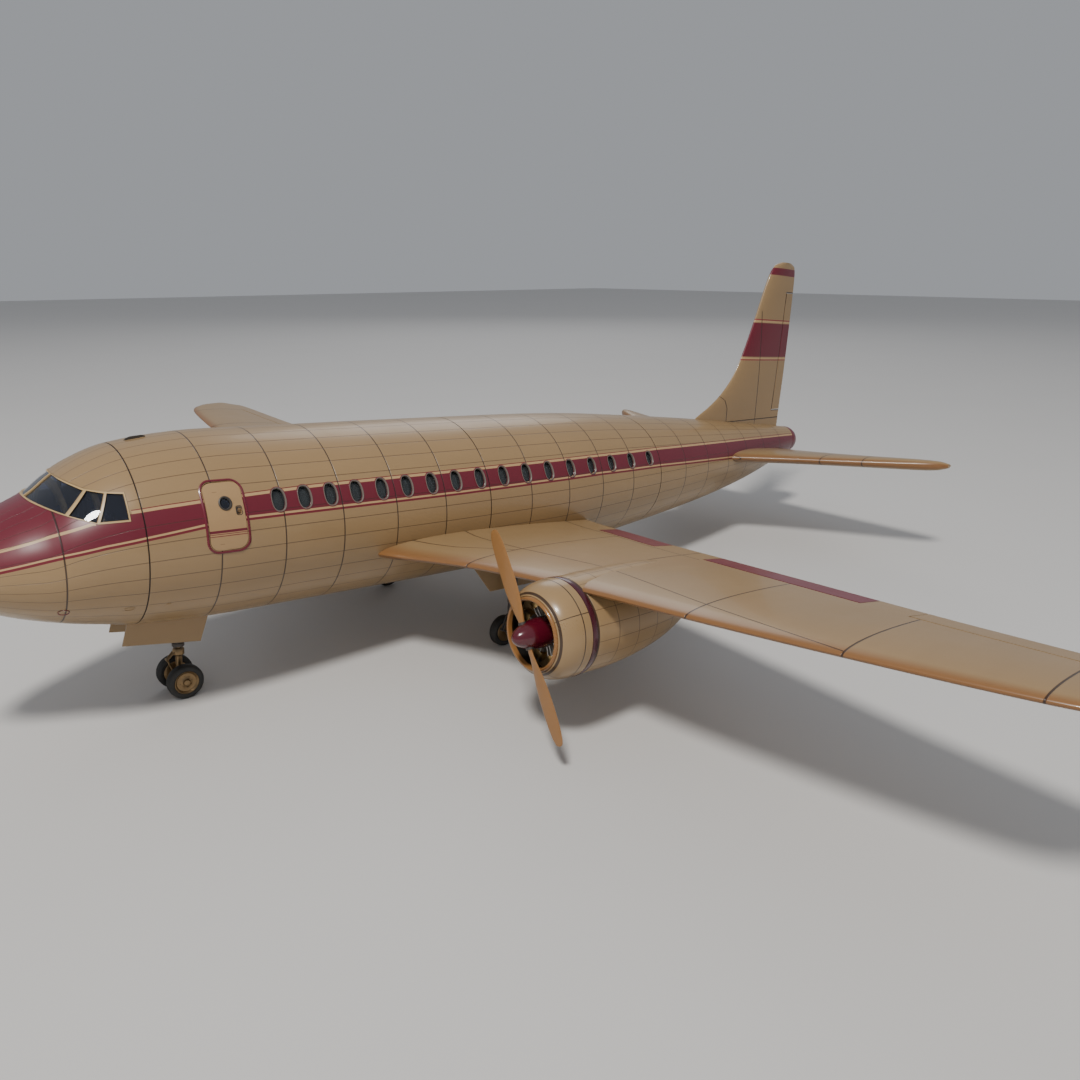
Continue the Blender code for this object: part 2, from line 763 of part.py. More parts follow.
def axle_height(x):
    """The height of an axle above which one flat of its tyre just meets the ground."""
    reach = TYRE_RADIUS * math.cos(math.pi / TYRE_FLATS)
    return -(GROUND - reach) / math.cos(PITCH) + math.tan(PITCH) * x


def hub_profile(track, sign):
    """One wheel's rim and dished disc as (along, radius), from its inner end to its outer end."""
    half = TYRE_WIDE / 2
    well = RIM_RADIUS - 0.02
    rows = [(-half, AXLE_RADIUS), (-half, RIM_RADIUS), (-0.02, well), (0.02, well)]
    rows += [(half - 0.006, RIM_RADIUS), (half - 0.024, RIM_RADIUS - 0.022)]
    rows += [(half - 0.024, 0.035), (half - 0.008, 0.020)]
    rows = [(sign * (track + along), radius) for along, radius in rows]
    return rows if sign > 0 else list(reversed(rows))


def make_tyre(name, centre, sign, rubber):
    """A tyre with a flat tread. One of its flats faces the ground."""
    half = TYRE_WIDE / 2
    well = RIM_RADIUS - 0.02 + GAP
    ring = [(-half, RIM_RADIUS + GAP), (-0.02, well), (0.02, well), (half - 0.006, RIM_RADIUS + GAP)]
    ring += [(half, 0.150), (half - 0.018, TYRE_RADIUS), (-half + 0.018, TYRE_RADIUS), (-half, 0.150)]
    ring = [(sign * along, radius) for along, radius in ring]
    start = math.pi / TYRE_FLATS - math.pi / 2 + PITCH
    mesh = turned(name, ring, centre, TYRE_FLATS, "Y", True, start)
    return add(name, mesh, rubber, centre)


def make_nose_gear(body, steel, rubber, bronze, tan):
    x = NOSE_GEAR_X
    z = axle_height(x)
    centre = (x, 0.0, z)
    hubs = hub_profile(NOSE_TRACK, -1) + hub_profile(NOSE_TRACK, 1)
    add("nose_wheel_hubs", turned("nose_wheel_hubs", hubs, centre, 20, "Y"), bronze, centre)
    for side, sign in (("port", -1), ("starboard", 1)):
        make_tyre("nose_tyre_" + side, (x, sign * NOSE_TRACK, z), sign, rubber)

    top = FLOOR_Z[0] - GAP
    profile = [(top, 0.034), (top, 0.10), (top - 0.02, 0.10), (top - 0.05, 0.052)]
    profile += [(-1.24, 0.052), (-1.24, 0.034)]
    leg = add("nose_gear_leg", turned("nose_gear_leg", profile, (x, 0, 0), 18, "Z", wrap=True), steel)
    lug = box("brace_lug", (x + 0.04, x + 0.10), (-0.022, 0.022), (-1.16, -1.06))
    join(leg, helper("brace_lug", lug))
    brace = rod("nose_gear_brace", (x + 0.130, 0, -1.12), (x + 0.30, 0, top - 0.022), 0.020, 10)
    add("nose_gear_brace", brace, steel)

    slide = [(top - 0.10, 0.006), (top - 0.10, 0.027), (-1.26, 0.027), (-1.26, 0.050), (-1.29, 0.056)]
    slide += [(-1.33, 0.056), (-1.36, 0.032), (z + 0.03, 0.032), (z - 0.035, 0.040), (z - 0.05, 0.03)]
    piston = add("nose_gear_fork", turned("nose_gear_fork", slide, (x, 0, 0), 16, "Z"), bronze, centre)
    bore = turned("nose_axle_bore", [(-0.2, AXLE_RADIUS + GAP), (0.2, AXLE_RADIUS + GAP)], centre, 14, "Y")
    cut(piston, helper("nose_axle_bore", bore))

    for side, sign in (("port", -1), ("starboard", 1)):
        name = "nose_gear_door_" + side
        y = sorted((sign * (BAY_HALF + 0.004), sign * (BAY_HALF + 0.020)))
        rings = []
        for along, lean, low in ((-1.29, 0.05, -1.047), (-0.57, 0.08, -1.150)):
            ring = [(along, y[0], low), (along, y[1], low)]
            ring += [(along + 1.1 * lean, y[1], -0.6), (along + 1.1 * lean, y[0], -0.6)]
            rings.append(ring)
        cut(add(name, lofted(name, rings), tan), body)


def make_main_gear(side, sign, wing, wing_block, steel, rubber, bronze, tan):
    x = MAIN_GEAR_X
    z = axle_height(x)
    centre = (x, sign * MAIN_GEAR_Y, z)
    rows = [(-sign * along, radius) for along, radius in hub_profile(0.0, 1)]
    rows.insert(0, (sign * (MAIN_LEG + 0.045), AXLE_RADIUS))
    add(f"main_{side}_wheel_hub", turned(f"main_{side}_wheel_hub", rows, centre, 20, "Y"), bronze, centre)
    make_tyre(f"main_{side}_tyre", centre, -sign, rubber)

    y = sign * (MAIN_GEAR_Y + MAIN_LEG)
    top = -0.30
    profile = [(top, 0.01), (top, 0.05), (-1.12, 0.05), (-1.13, 0.034)]
    profile += [(z + 0.05, 0.034), (z + 0.03, 0.042), (z - 0.035, 0.042), (z - 0.05, 0.03)]
    name = "main_gear_leg_" + side
    leg = add(name, turned(name, profile, (x, y, 0), 16, "Z"), steel)
    hole = [(-0.2, AXLE_RADIUS + GAP), (0.2, AXLE_RADIUS + GAP)]
    bore = turned(name + "_bore", hole, (x, y, z), 14, "Y")
    cut(leg, helper(name + "_bore", bore))
    hole = [(top + GAP, 0.05 + GAP), (-0.9, 0.05 + GAP)]
    pocket = turned(name + "_pocket", hole, (x, y, 0), 16, "Z")
    cut(wing, helper(name + "_pocket", pocket))

    name = "main_gear_door_" + side
    rings = []
    for far in (MAIN_GEAR_Y + 0.015, MAIN_GEAR_Y + 0.030):
        outline = ((1.86, -0.35), (2.22, -0.83), (2.86, -0.83), (2.86, -0.35))
        rings.append([(a, sign * far, b) for a, b in outline])
    door = add(name, lofted(name, rings), tan)
    cut(door, wing_block)


def make_antennas(body, dark):
    mast = [(-1.12, 0.80), (-0.88, 0.80), (-0.90, 0.895), (-1.04, 0.885)]
    cut(add("roof_antenna", prism("roof_antenna", mast, -0.012, 0.012), dark), body)
    blade = [(1.33, -0.80), (1.55, -0.80), (1.52, -0.97), (1.42, -0.97)]
    cut(add("belly_antenna", prism("belly_antenna", blade, -0.012, 0.012), dark), body)


# ---------------------------------------------------------------- the model


def main():
    tan = paint("tan_paint", (0.46, 0.31, 0.17), 0.35)
    crimson = paint("crimson_paint", (0.22, 0.02, 0.045), 0.32)
    glass = paint("smoked_glass", (0.03, 0.035, 0.05), 0.06, 0.0, 0.5)
    rubber = paint("black_rubber", (0.02, 0.02, 0.02), 0.7)
    bronze = paint("bronze", (0.42, 0.30, 0.16), 0.35, 0.9)
    steel = paint("dark_steel", (0.10, 0.09, 0.08), 0.45, 0.8)
    metal = paint("engine_alloy", (0.62, 0.52, 0.34), 0.35, 0.9)
    iron = paint("cast_iron", (0.12, 0.12, 0.12), 0.7, 0.6)
    dark = paint("dark_fitting", (0.05, 0.04, 0.035), 0.5)

    spar_hole = make_fuselage(tan, crimson, glass, iron, dark)
    stations = [x for part in sections().values() for x in part]
    body = helper("fuselage_block", lofted("fuselage_block", [skin_ring(x, GAP) for x in stations]))
    add("wing_spar", box("wing_spar", SPAR_X, (-SPAR_HALF, SPAR_HALF), SPAR_Z), steel)
    make_tail(body, tan)
    make_nose_gear(body, steel, rubber, bronze, tan)
    make_antennas(body, dark)
    for side, sign in (("port", -1), ("starboard", 1)):
        wing = make_wing(side, sign, body, spar_hole, tan, crimson)
        name = "wing_block_" + side
        wing_block = helper(name, lofted(name, wing_rings(sign, GAP)))
        make_engine(side, sign, wing, wing_block, tan, metal)
        make_propeller(side, sign, tan, crimson)
        make_main_gear(side, sign, wing, wing_block, steel, rubber, bronze, tan)


clear_scene()
AIRFRAME = empty("airframe")
AIRFRAME.rotation_euler = (0.0, PITCH, 0.0)
AIRFRAME.location = (AIRFRAME_X, 0.0, GROUND * UNIT)
main()
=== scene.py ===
"""The looks of a twin-engined propeller airliner model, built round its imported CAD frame.

Lengths are multiples of UNIT along the fuselage: +X aft, +Y to starboard, +Z up from its axis. Every piece's object holds the airframe's matrix, so object coordinates are fuselage coordinates.
"""

import math

import bmesh
import bpy
from mathutils import Matrix, Vector


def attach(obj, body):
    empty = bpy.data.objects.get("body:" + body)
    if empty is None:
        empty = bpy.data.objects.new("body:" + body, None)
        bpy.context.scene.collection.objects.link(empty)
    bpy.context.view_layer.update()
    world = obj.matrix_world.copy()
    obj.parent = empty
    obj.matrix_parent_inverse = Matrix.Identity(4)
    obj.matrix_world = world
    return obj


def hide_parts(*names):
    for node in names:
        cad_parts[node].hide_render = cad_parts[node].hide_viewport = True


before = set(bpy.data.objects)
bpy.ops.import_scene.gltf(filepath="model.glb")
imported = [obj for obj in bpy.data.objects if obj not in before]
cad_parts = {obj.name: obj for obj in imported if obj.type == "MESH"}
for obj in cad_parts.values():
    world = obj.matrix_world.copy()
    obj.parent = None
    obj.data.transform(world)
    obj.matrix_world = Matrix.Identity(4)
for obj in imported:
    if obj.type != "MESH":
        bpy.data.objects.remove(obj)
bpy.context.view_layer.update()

UNIT = 0.050
PITCH = 0.0718
AIRFRAME = Matrix.Translation((-3.4696 * UNIT, 0.0, 1.689 * UNIT)) @ Matrix.Rotation(PITCH, 4, "Y")
SIDES = (("port", -1), ("starboard", 1))
GAP = 0.006
WALL = 0.030
FRAME = 0.605
NOSE_TIP = -2.92
TAIL_END = 9.60
TAIL_TIP = 9.87
SEAMS = (-4 * FRAME, -2 * FRAME, 4 * FRAME, 9 * FRAME, TAIL_END)

# The fuselage's sections: x, top, bottom, half width.
PROFILE = (
    (NOSE_TIP, -0.36, -0.36, 0.0),
    (-2.42, 0.140, -0.500, 0.500),
    (-2.10, 0.335, -0.630, 0.675),
    (-1.90, 0.435, -0.695, 0.765),
    (-1.71, 0.590, -0.750, 0.840),
    (-1.50, 0.715, -0.797, 0.900),
    (-1.21, 0.825, -0.855, 0.955),
    (-0.60, 0.905, -0.905, 0.995),
    (0.00, 0.915, -0.915, 1.000),
    (3.40, 0.915, -0.915, 1.000),
    (4.50, 0.890, -0.830, 0.950),
    (5.50, 0.830, -0.725, 0.865),
    (6.50, 0.760, -0.610, 0.745),
    (7.50, 0.680, -0.470, 0.595),
    (8.50, 0.590, -0.275, 0.420),
    (TAIL_END, 0.487, 0.030, 0.225),
)
WINDOWS = [-0.03 + 0.2565 * k + 0.0045 * k * k for k in range(17)]
WINDOW_Z = 0.37
WINDOW_SIZE = (0.133, 0.200)
DOOR_X = (-0.705, -0.365)
DOOR_Z = (-0.020, 0.560)
DOOR_CORNER = 0.085
PORTHOLE = (-0.528, 0.385, 0.050)
GLAZING = (
    (-1.92, 0.405),
    (-1.734, 0.345),
    (-1.538, 0.290),
    (-1.305, 0.305),
    (-1.300, 0.525),
    (-1.437, 0.530),
    (-1.560, 0.545),
    (-1.700, 0.600),
    (-2.05, 0.95),
    (-2.25, 0.60),
)
PANES = (
    ((-2.20, 0.60), (-2.00, 0.85), (-1.700, 0.580), (-1.583, 0.532), (-1.745, 0.368), (-1.905, 0.423)),
    ((-1.557, 0.524), (-1.452, 0.511), (-1.550, 0.312), (-1.715, 0.357)),
    ((-1.425, 0.509), (-1.320, 0.505), (-1.325, 0.325), (-1.520, 0.313)),
)

# Lifting surfaces: span, leading edge, trailing edge, thickness.
WING = (
    (0.55, 0.93, 4.12, 0.260),
    (0.95, 1.01, 4.00, 0.235),
    (1.20, 1.09, 3.93, 0.190),
    (1.50, 1.22, 3.87, 0.165),
    (1.95, 1.39, 3.79, 0.155),
    (2.50, 1.50, 3.68, 0.148),
    (3.47, 1.62, 3.54, 0.140),
    (4.53, 1.69, 3.38, 0.130),
    (5.72, 1.81, 3.20, 0.120),
    (6.84, 1.97, 3.07, 0.110),
    (7.20, 2.09, 3.03, 0.100),
    (7.38, 2.28, 2.98, 0.090),
    (7.46, 2.55, 2.88, 0.080),
)
STABILISER = (
    (0.15, 7.10, 9.24, 0.187),
    (0.60, 7.36, 9.21, 0.184),
    (1.20, 7.77, 9.17, 0.171),
    (2.00, 8.20, 9.13, 0.161),
    (2.80, 8.62, 9.09, 0.155),
    (3.06, 8.77, 9.06, 0.130),
    (3.18, 8.90, 9.00, 0.060),
)
FIN = (
    (0.30, 6.70, 9.38, 0.056),
    (0.72, 7.15, 9.38, 0.067),
    (0.85, 7.40, 9.38, 0.076),
    (1.04, 7.69, 9.385, 0.088),
    (1.30, 7.95, 9.39, 0.100),
    (1.64, 8.15, 9.39, 0.100),
    (2.20, 8.38, 9.385, 0.100),
    (2.80, 8.60, 9.37, 0.100),
    (3.00, 8.70, 9.355, 0.100),
    (3.10, 8.80, 9.32, 0.100),
    (3.15, 8.95, 9.22, 0.100),
)
FLAPS = (("inner_flap", 1.55, 2.58), ("outer_flap", 3.30, 5.12), ("aileron", 5.55, 6.85))
ENGINE_Y = 3.13
ENGINE_Z = -0.507
PROP_X = 1.166
PROP_RADIUS = 0.97
PROP_ANGLE = 1.019
COWL_X = (1.22, 1.60)

TAN = (0.300, 0.194, 0.093)
CRIMSON = (0.135, 0.010, 0.022)
CREAM = (0.47, 0.30, 0.145)


# ---------------------------------------------------------------- materials


class Paint:
    """A material whose values are worked out from the surface's own coordinates."""

    def __init__(self, name):
        self.material = bpy.data.materials.new(name)
        self.material.use_nodes = True
        self.tree = self.material.node_tree
        self.shader = self.tree.nodes["Principled BSDF"]
        self.place = None

    def node(self, kind, inputs=(), **settings):
        item = self.tree.nodes.new(kind)
        for key, value in settings.items():
            setattr(item, key, value)
        for socket, value in inputs:
            self.feed(item.inputs[socket], value)
        return item

    def feed(self, socket, value):
        if isinstance(value, bpy.types.NodeSocket):
            self.tree.links.new(value, socket)
        else:
            socket.default_value = value

    def math(self, operation, *values):
        return self.node("ShaderNodeMath", enumerate(values), operation=operation).outputs[0]

    def xyz(self):
        """Fuselage coordinates in UNIT."""
        if not self.place:
            where = self.node("ShaderNodeTexCoord").outputs["Object"]
            scaled = self.node(
                "ShaderNodeVectorMath", ((0, where), (3, 1 / UNIT)), operation="SCALE"
            ).outputs[0]
            self.place = scaled
        return self.node("ShaderNodeSeparateXYZ", ((0, self.place),)).outputs

    def flat(self):
        """The coordinates laid out over the piece by lay_out."""
        item = self.node("ShaderNodeAttribute", attribute_name="flat")
        return self.node("ShaderNodeSeparateXYZ", ((0, item.outputs["Vector"]),)).outputs

    def step(self, value, low, high):
        """0 under low, 1 over high."""
        inputs = ((0, value), (1, low), (2, high))
        return self.node("ShaderNodeMapRange", inputs, interpolation_type="SMOOTHSTEP").outputs[0]

    def near(self, value, at, half, soft=0.003):
        """1 on a line of this half width."""
        away = self.math("ABSOLUTE", self.math("SUBTRACT", value, at))
        return self.math("SUBTRACT", 1.0, self.step(away, half - soft / 2, half + soft / 2))

    def every(self, value, spacing, start, half, soft):
        """1 on lines that repeat."""
        turned = self.math("PINGPONG", self.math("SUBTRACT", value, start), spacing / 2)
        return self.math("SUBTRACT", 1.0, self.step(turned, half - soft / 2, half + soft / 2))

    def over(self, value, edge, soft=0.004):
        return self.step(self.math("SUBTRACT", value, edge), -soft / 2, soft / 2)

    def both(self, *masks):
        result = masks[0]
        for mask in masks[1:]:
            result = self.math("MULTIPLY", result, mask)
        return result

    def either(self, *masks):
        result = masks[0]
        for mask in masks[1:]:
            result = self.math("MAXIMUM", result, mask)
        return result

    def no(self, mask):
        return self.math("SUBTRACT", 1.0, mask)

    def course(self, value, points):
        """A height that follows straight lines through (value, height) points."""
        total = points[0][1]
        for (a, low), (b, high) in zip(points, points[1:]):
            piece = self.node(
                "ShaderNodeMapRange", ((0, value), (1, a), (2, b), (3, 0.0), (4, high - low))
            ).outputs[0]
            total = self.math("ADD", total, piece)
        return total

    def noise(self, scale, detail=3.0, stretch=(1, 1, 1)):
        self.xyz()
        where = self.node(
            "ShaderNodeVectorMath", ((0, self.place), (1, stretch)), operation="MULTIPLY"
        ).outputs[0]
        return self.node(
            "ShaderNodeTexNoise", (("Vector", where), ("Scale", scale), ("Detail", detail))
        ).outputs[0]

    def mix(self, mask, under, over):
        inputs = ((0, mask), (6, self.colour(under)), (7, self.colour(over)))
        return self.node("ShaderNodeMix", inputs, data_type="RGBA").outputs[2]

    def colour(self, value):
        return (*value, 1.0) if isinstance(value, tuple) and len(value) == 3 else value

    def tone(self, colour, mask, amount):
        """The colour made lighter and darker by a mask about 0.5."""
        factor = self.math("MULTIPLY_ADD", mask, amount, 1 - amount / 2)
        inputs = ((0, self.colour(colour)[:3] if isinstance(colour, tuple) else colour), (3, factor))
        return self.node("ShaderNodeVectorMath", inputs, operation="SCALE").outputs[0]

    def finish(self, colour, roughness, height=None, depth=0.0004, **sockets):
        self.feed(self.shader.inputs["Base Color"], self.colour(colour))
        self.feed(self.shader.inputs["Roughness"], roughness)
        if height is not None:
            bump = self.node("ShaderNodeBump", (("Height", height), ("Distance", depth), ("Strength", 1.0)))
            self.feed(self.shader.inputs["Normal"], bump.outputs[0])
        for name, value in sockets.items():
            self.shader.inputs[name.replace("_", " ")].default_value = value
        return self.material


def gloss(paint, base=0.30):
    """Satin paint's roughness: small clouds and fine dust."""
    clouds = paint.noise(2.2, 4.0)
    dust = paint.noise(90.0, 2.0)
    return paint.math(
        "ADD", paint.math("MULTIPLY_ADD", clouds, 0.16, base - 0.08), paint.math("MULTIPLY", dust, 0.06)
    )


def aged(paint, colour, amount=0.16):
    """Paint that isn't quite even: clouds, and faint streaks along the flight."""
    clouded = paint.tone(colour, paint.noise(0.9, 5.0), amount)
    return paint.tone(clouded, paint.noise(7.0, 3.0, (0.12, 1, 1)), amount * 0.5)


def lined(paint, colour, lines, thin=None):
    """Panel lines with the dirt that gathers beside them. Returns the colour and the height for bump."""
    shaded = paint.mix(paint.math("MULTIPLY", lines, 0.9), colour, (0.022, 0.009, 0.006))
    height = paint.no(lines)
    if thin is not None:
        shaded = paint.mix(paint.math("MULTIPLY", thin, 0.62), shaded, (0.045, 0.018, 0.010))
        height = paint.math("SUBTRACT", height, paint.math("MULTIPLY", thin, 0.5))
    return shaded, height


CRIMSON_TOP = (
    (-2.10, 1.30),
    (-2.00, 0.62),
    (-1.75, 0.50),
    (-1.56, 0.44),
    (-1.30, 0.362),
    (-1.04, 0.386),
    (-0.75, 0.405),
    (-0.34, 0.426),
    (0.35, 0.446),
    (1.30, 0.452),
    (4.27, 0.465),
    (5.46, 0.459),
    (6.73, 0.434),
    (8.01, 0.405),
    (9.60, 0.362),
)
CRIMSON_FOOT = (
    (-2.92, -0.235),
    (-2.24, -0.045),
    (-1.81, 0.064),
    (-1.52, 0.126),
    (-1.22, 0.171),
    (-0.75, 0.229),
    (-0.35, 0.262),
    (2.00, 0.263),
    (4.20, 0.286),
    (5.47, 0.274),
    (6.75, 0.235),
    (7.36, 0.213),
    (9.60, 0.120),
)
NOSE_LINE = ((-2.92, -0.130), (-2.21, 0.088), (-2.01, 0.149), (-1.82, 0.215), (-1.58, 0.296))


def fuselage_paint():
    paint = Paint("fuselage_paint")
    x, y, z = paint.xyz()[:3]
    along, angle = paint.flat()[:2]
    top = paint.course(x, CRIMSON_TOP)
    foot = paint.course(x, CRIMSON_FOOT)
    above = paint.math("SUBTRACT", z, top)
    below = paint.math("SUBTRACT", foot, z)
    crimson = paint.both(paint.over(z, foot), paint.no(paint.over(z, top)))
    aft = paint.over(x, -1.29)
    trim = paint.both(aft, paint.near(above, 0.011, 0.012))
    trim = paint.either(trim, paint.near(below, 0.009, 0.010))
    nose_line = paint.near(z, paint.course(x, NOSE_LINE), 0.0105)
    trim = paint.either(trim, paint.both(nose_line, paint.no(paint.over(x, -1.56))))
    thread = paint.both(aft, paint.near(above, 0.027, 0.0035))
    spread = paint.course(x, ((-1.9, 0.024), (-0.3, 0.029)))
    thread = paint.either(thread, paint.near(below, spread, 0.0105))

    base = paint.mix(crimson, aged(paint, TAN), aged(paint, CRIMSON, 0.22))
    base = paint.mix(trim, base, CREAM)
    base = paint.mix(thread, base, (0.15, 0.010, 0.020))

    frames = paint.every(along, FRAME, 0.0, 0.0058, 0.005)
    upper = paint.both(paint.every(angle, 10.25, 35.4, 0.24, 0.2), paint.over(angle, 31.0, 0.1))
    lower = paint.both(paint.every(angle, 10.3, -2.2, 0.24, 0.2), paint.no(paint.over(angle, 27.0, 0.1)))
    shaded, height = lined(paint, base, frames, paint.either(upper, lower))
    return paint.finish(shaded, gloss(paint), height, 0.00012, Specular_IOR_Level=0.55, Coat_Weight=0.12)


def wing_paint(name, courses, span_lines, shaded_chord, limits=()):
    """Paint for a lifting surface: its flat coordinates are the chord fraction and the place along the span.

    A course is a line's (span, chord fraction) points. Limits is where along the span each course ends.
    """
    paint = Paint(name)
    chord, span = paint.flat()[:2]
    lines = 0.0
    for course, limit in zip(courses, limits):
        line = paint.near(chord, paint.course(span, course), 0.0028, 0.0018)
        lines = paint.either(lines, paint.both(line, paint.no(paint.over(span, limit, 0.01))))
    for at in span_lines:
        lines = paint.either(lines, paint.near(span, at, 0.0075, 0.005))
    base = aged(paint, TAN)
    # Painted shade: a darker brown band along the leading edge, fading out over the front of the chord.
    leading_edge_shade = paint.no(paint.step(chord, 0.0, shaded_chord))
    base = paint.mix(paint.math("MULTIPLY", leading_edge_shade, 0.8), base, (0.20, 0.078, 0.020))
    shaded, height = lined(paint, base, lines)
    return paint.finish(shaded, gloss(paint, 0.30), height, 0.00010, Specular_IOR_Level=0.5, Coat_Weight=0.12)


def fin_paint():
    paint = Paint("fin_paint")
    x, y, z = paint.xyz()[:3]
    chord, span = paint.flat()[:2]
    band = paint.both(paint.over(z, 1.665), paint.no(paint.over(z, 2.195)))
    band = paint.either(band, paint.both(paint.over(z, 2.945), paint.no(paint.over(z, 3.055))))
    trim = paint.either(paint.near(z, 1.640, 0.013), paint.near(z, 2.220, 0.013))
    thread = paint.either(paint.near(z, 1.615, 0.008), paint.near(z, 2.246, 0.008))
    base = paint.mix(band, aged(paint, TAN), aged(paint, CRIMSON, 0.2))
    base = paint.mix(trim, base, CREAM)
    base = paint.mix(thread, base, (0.24, 0.018, 0.03))
    spar = paint.course(z, ((0.7, 8.69), (2.4, 8.52)))
    lines = paint.both(paint.near(x, spar, 0.008, 0.006), paint.no(paint.over(z, 2.38, 0.05)))
    root = paint.both(paint.near(z, paint.course(x, ((7.9, 0.635), (9.4, 0.66))), 0.008), paint.over(x, 7.90))
    front = paint.near(x, paint.course(z, ((0.60, 7.90), (0.85, 7.88), (0.98, 7.81), (1.06, 7.66))), 0.009)
    front = paint.both(front, paint.over(z, 0.635), paint.no(paint.over(z, 1.06)))
    rudder = paint.both(paint.near(x, 9.155, 0.011), paint.over(z, 0.775), paint.no(paint.over(z, 2.705)))
    ends = paint.either(paint.near(z, 0.785, 0.010), paint.near(z, 2.695, 0.010))
    ends = paint.both(ends, paint.over(x, 9.145))
    lines = paint.either(lines, root, front, rudder, ends)
    shaded, height = lined(paint, base, lines)
    return paint.finish(shaded, gloss(paint), height, 0.00010, Specular_IOR_Level=0.5, Coat_Weight=0.1)


def plain_paint(name, colour, base=0.3, amount=0.16, coat=0.12):
    paint = Paint(name)
    height = paint.noise(160.0, 2.0)
    return paint.finish(aged(paint, colour, amount), gloss(paint, base), height, 0.00001, Coat_Weight=coat)


def door_paint():
    paint = Paint("door_paint")
    x, y, z = paint.xyz()[:3]
    stripe = paint.near(z, 0.152, 0.0115)
    threads = paint.either(paint.near(z, 0.130, 0.0028), paint.near(z, 0.112, 0.0035))
    base = paint.mix(stripe, aged(paint, (0.37, 0.23, 0.11)), (0.13, 0.010, 0.022))
    base = paint.mix(threads, base, (0.16, 0.014, 0.024))
    marks = paint.both(paint.near(x, -0.60, 0.020), paint.near(z, 0.482, 0.003))
    marks = paint.either(marks, paint.both(paint.near(x, -0.60, 0.020), paint.near(z, 0.040, 0.003)))
    shaded, height = lined(paint, base, paint.math("MULTIPLY", marks, 0.4))
    return paint.finish(shaded, gloss(paint), height, 0.00008, Coat_Weight=0.12)


def cowl_paint():
    """Its flat coordinates are the angle in degrees and x."""
    paint = Paint("cowl_paint")
    angle, along = paint.flat()[:2]
    lines = paint.either(paint.near(along, 1.452, 0.0050, 0.003), paint.near(along, 1.248, 0.0080, 0.003))
    seams = paint.every(angle, 90.0, 55.0, 0.45, 0.3)
    shaded, height = lined(paint, aged(paint, TAN), paint.either(lines, seams))
    return paint.finish(shaded, gloss(paint, 0.27), height, 0.00012, Coat_Weight=0.2)


def nacelle_paint():
    paint = Paint("nacelle_paint")
    angle, along = paint.flat()[:2]
    thin = paint.either(
        paint.every(angle, 18.0, 1.0, 0.36, 0.25), paint.every(along, 0.26, 1.60, 0.0045, 0.004)
    )
    shaded, height = lined(paint, aged(paint, TAN), paint.near(along, 1.612, 0.010, 0.004), thin)
    return paint.finish(shaded, gloss(paint, 0.33), height, 0.00008, Coat_Weight=0.1)


def metal(name, colour, roughness, wear=0.2, metallic=1.0, grain=60.0):
    paint = Paint(name)
    clouds = paint.noise(12.0, 5.0)
    fine = paint.noise(grain, 3.0)
    base = paint.tone(colour, clouds, wear)
    rough = paint.math("MULTIPLY_ADD", fine, 0.25, roughness - 0.12)
    return paint.finish(base, rough, fine, 0.00003, Metallic=metallic)


def rubber_paint():
    paint = Paint("tyre_rubber")
    fine = paint.noise(120.0, 4.0)
    clouds = paint.noise(14.0, 4.0)
    base = paint.tone((0.022, 0.021, 0.020), clouds, 0.6)
    return paint.finish(base, paint.math("MULTIPLY_ADD", fine, 0.2, 0.52), fine, 0.00004)


def glass_paint(name, colour, through):
    paint = Paint(name)
    smear = paint.noise(5.0, 4.0)
    rough = paint.math("MULTIPLY_ADD", smear, 0.05, 0.01)
    base = paint.tone(colour, smear, 0.2)
    return paint.finish(base, rough, Transmission_Weight=through, IOR=1.45, Specular_IOR_Level=0.6)


def floor_paint():
    paint = Paint("studio_floor")
    base = paint.tone((0.60, 0.59, 0.58), paint.noise(0.35, 2.0), 0.03)
    return paint.finish(base, 0.75)


WING_LINES = (
    ((0.95, 0.36), (1.95, 0.29), (3.05, 0.30), (4.40, 0.15), (5.65, 0.02)),
    ((0.95, 0.878), (2.0, 0.868), (3.3, 0.838)),
    ((0.95, 0.13), (1.45, 0.16), (1.97, 0.26)),
)
PLANE_LINES = (((0.15, 0.16), (0.50, 0.05), (0.72, 0.0)), ((0.15, 0.52), (2.2, 0.44)))

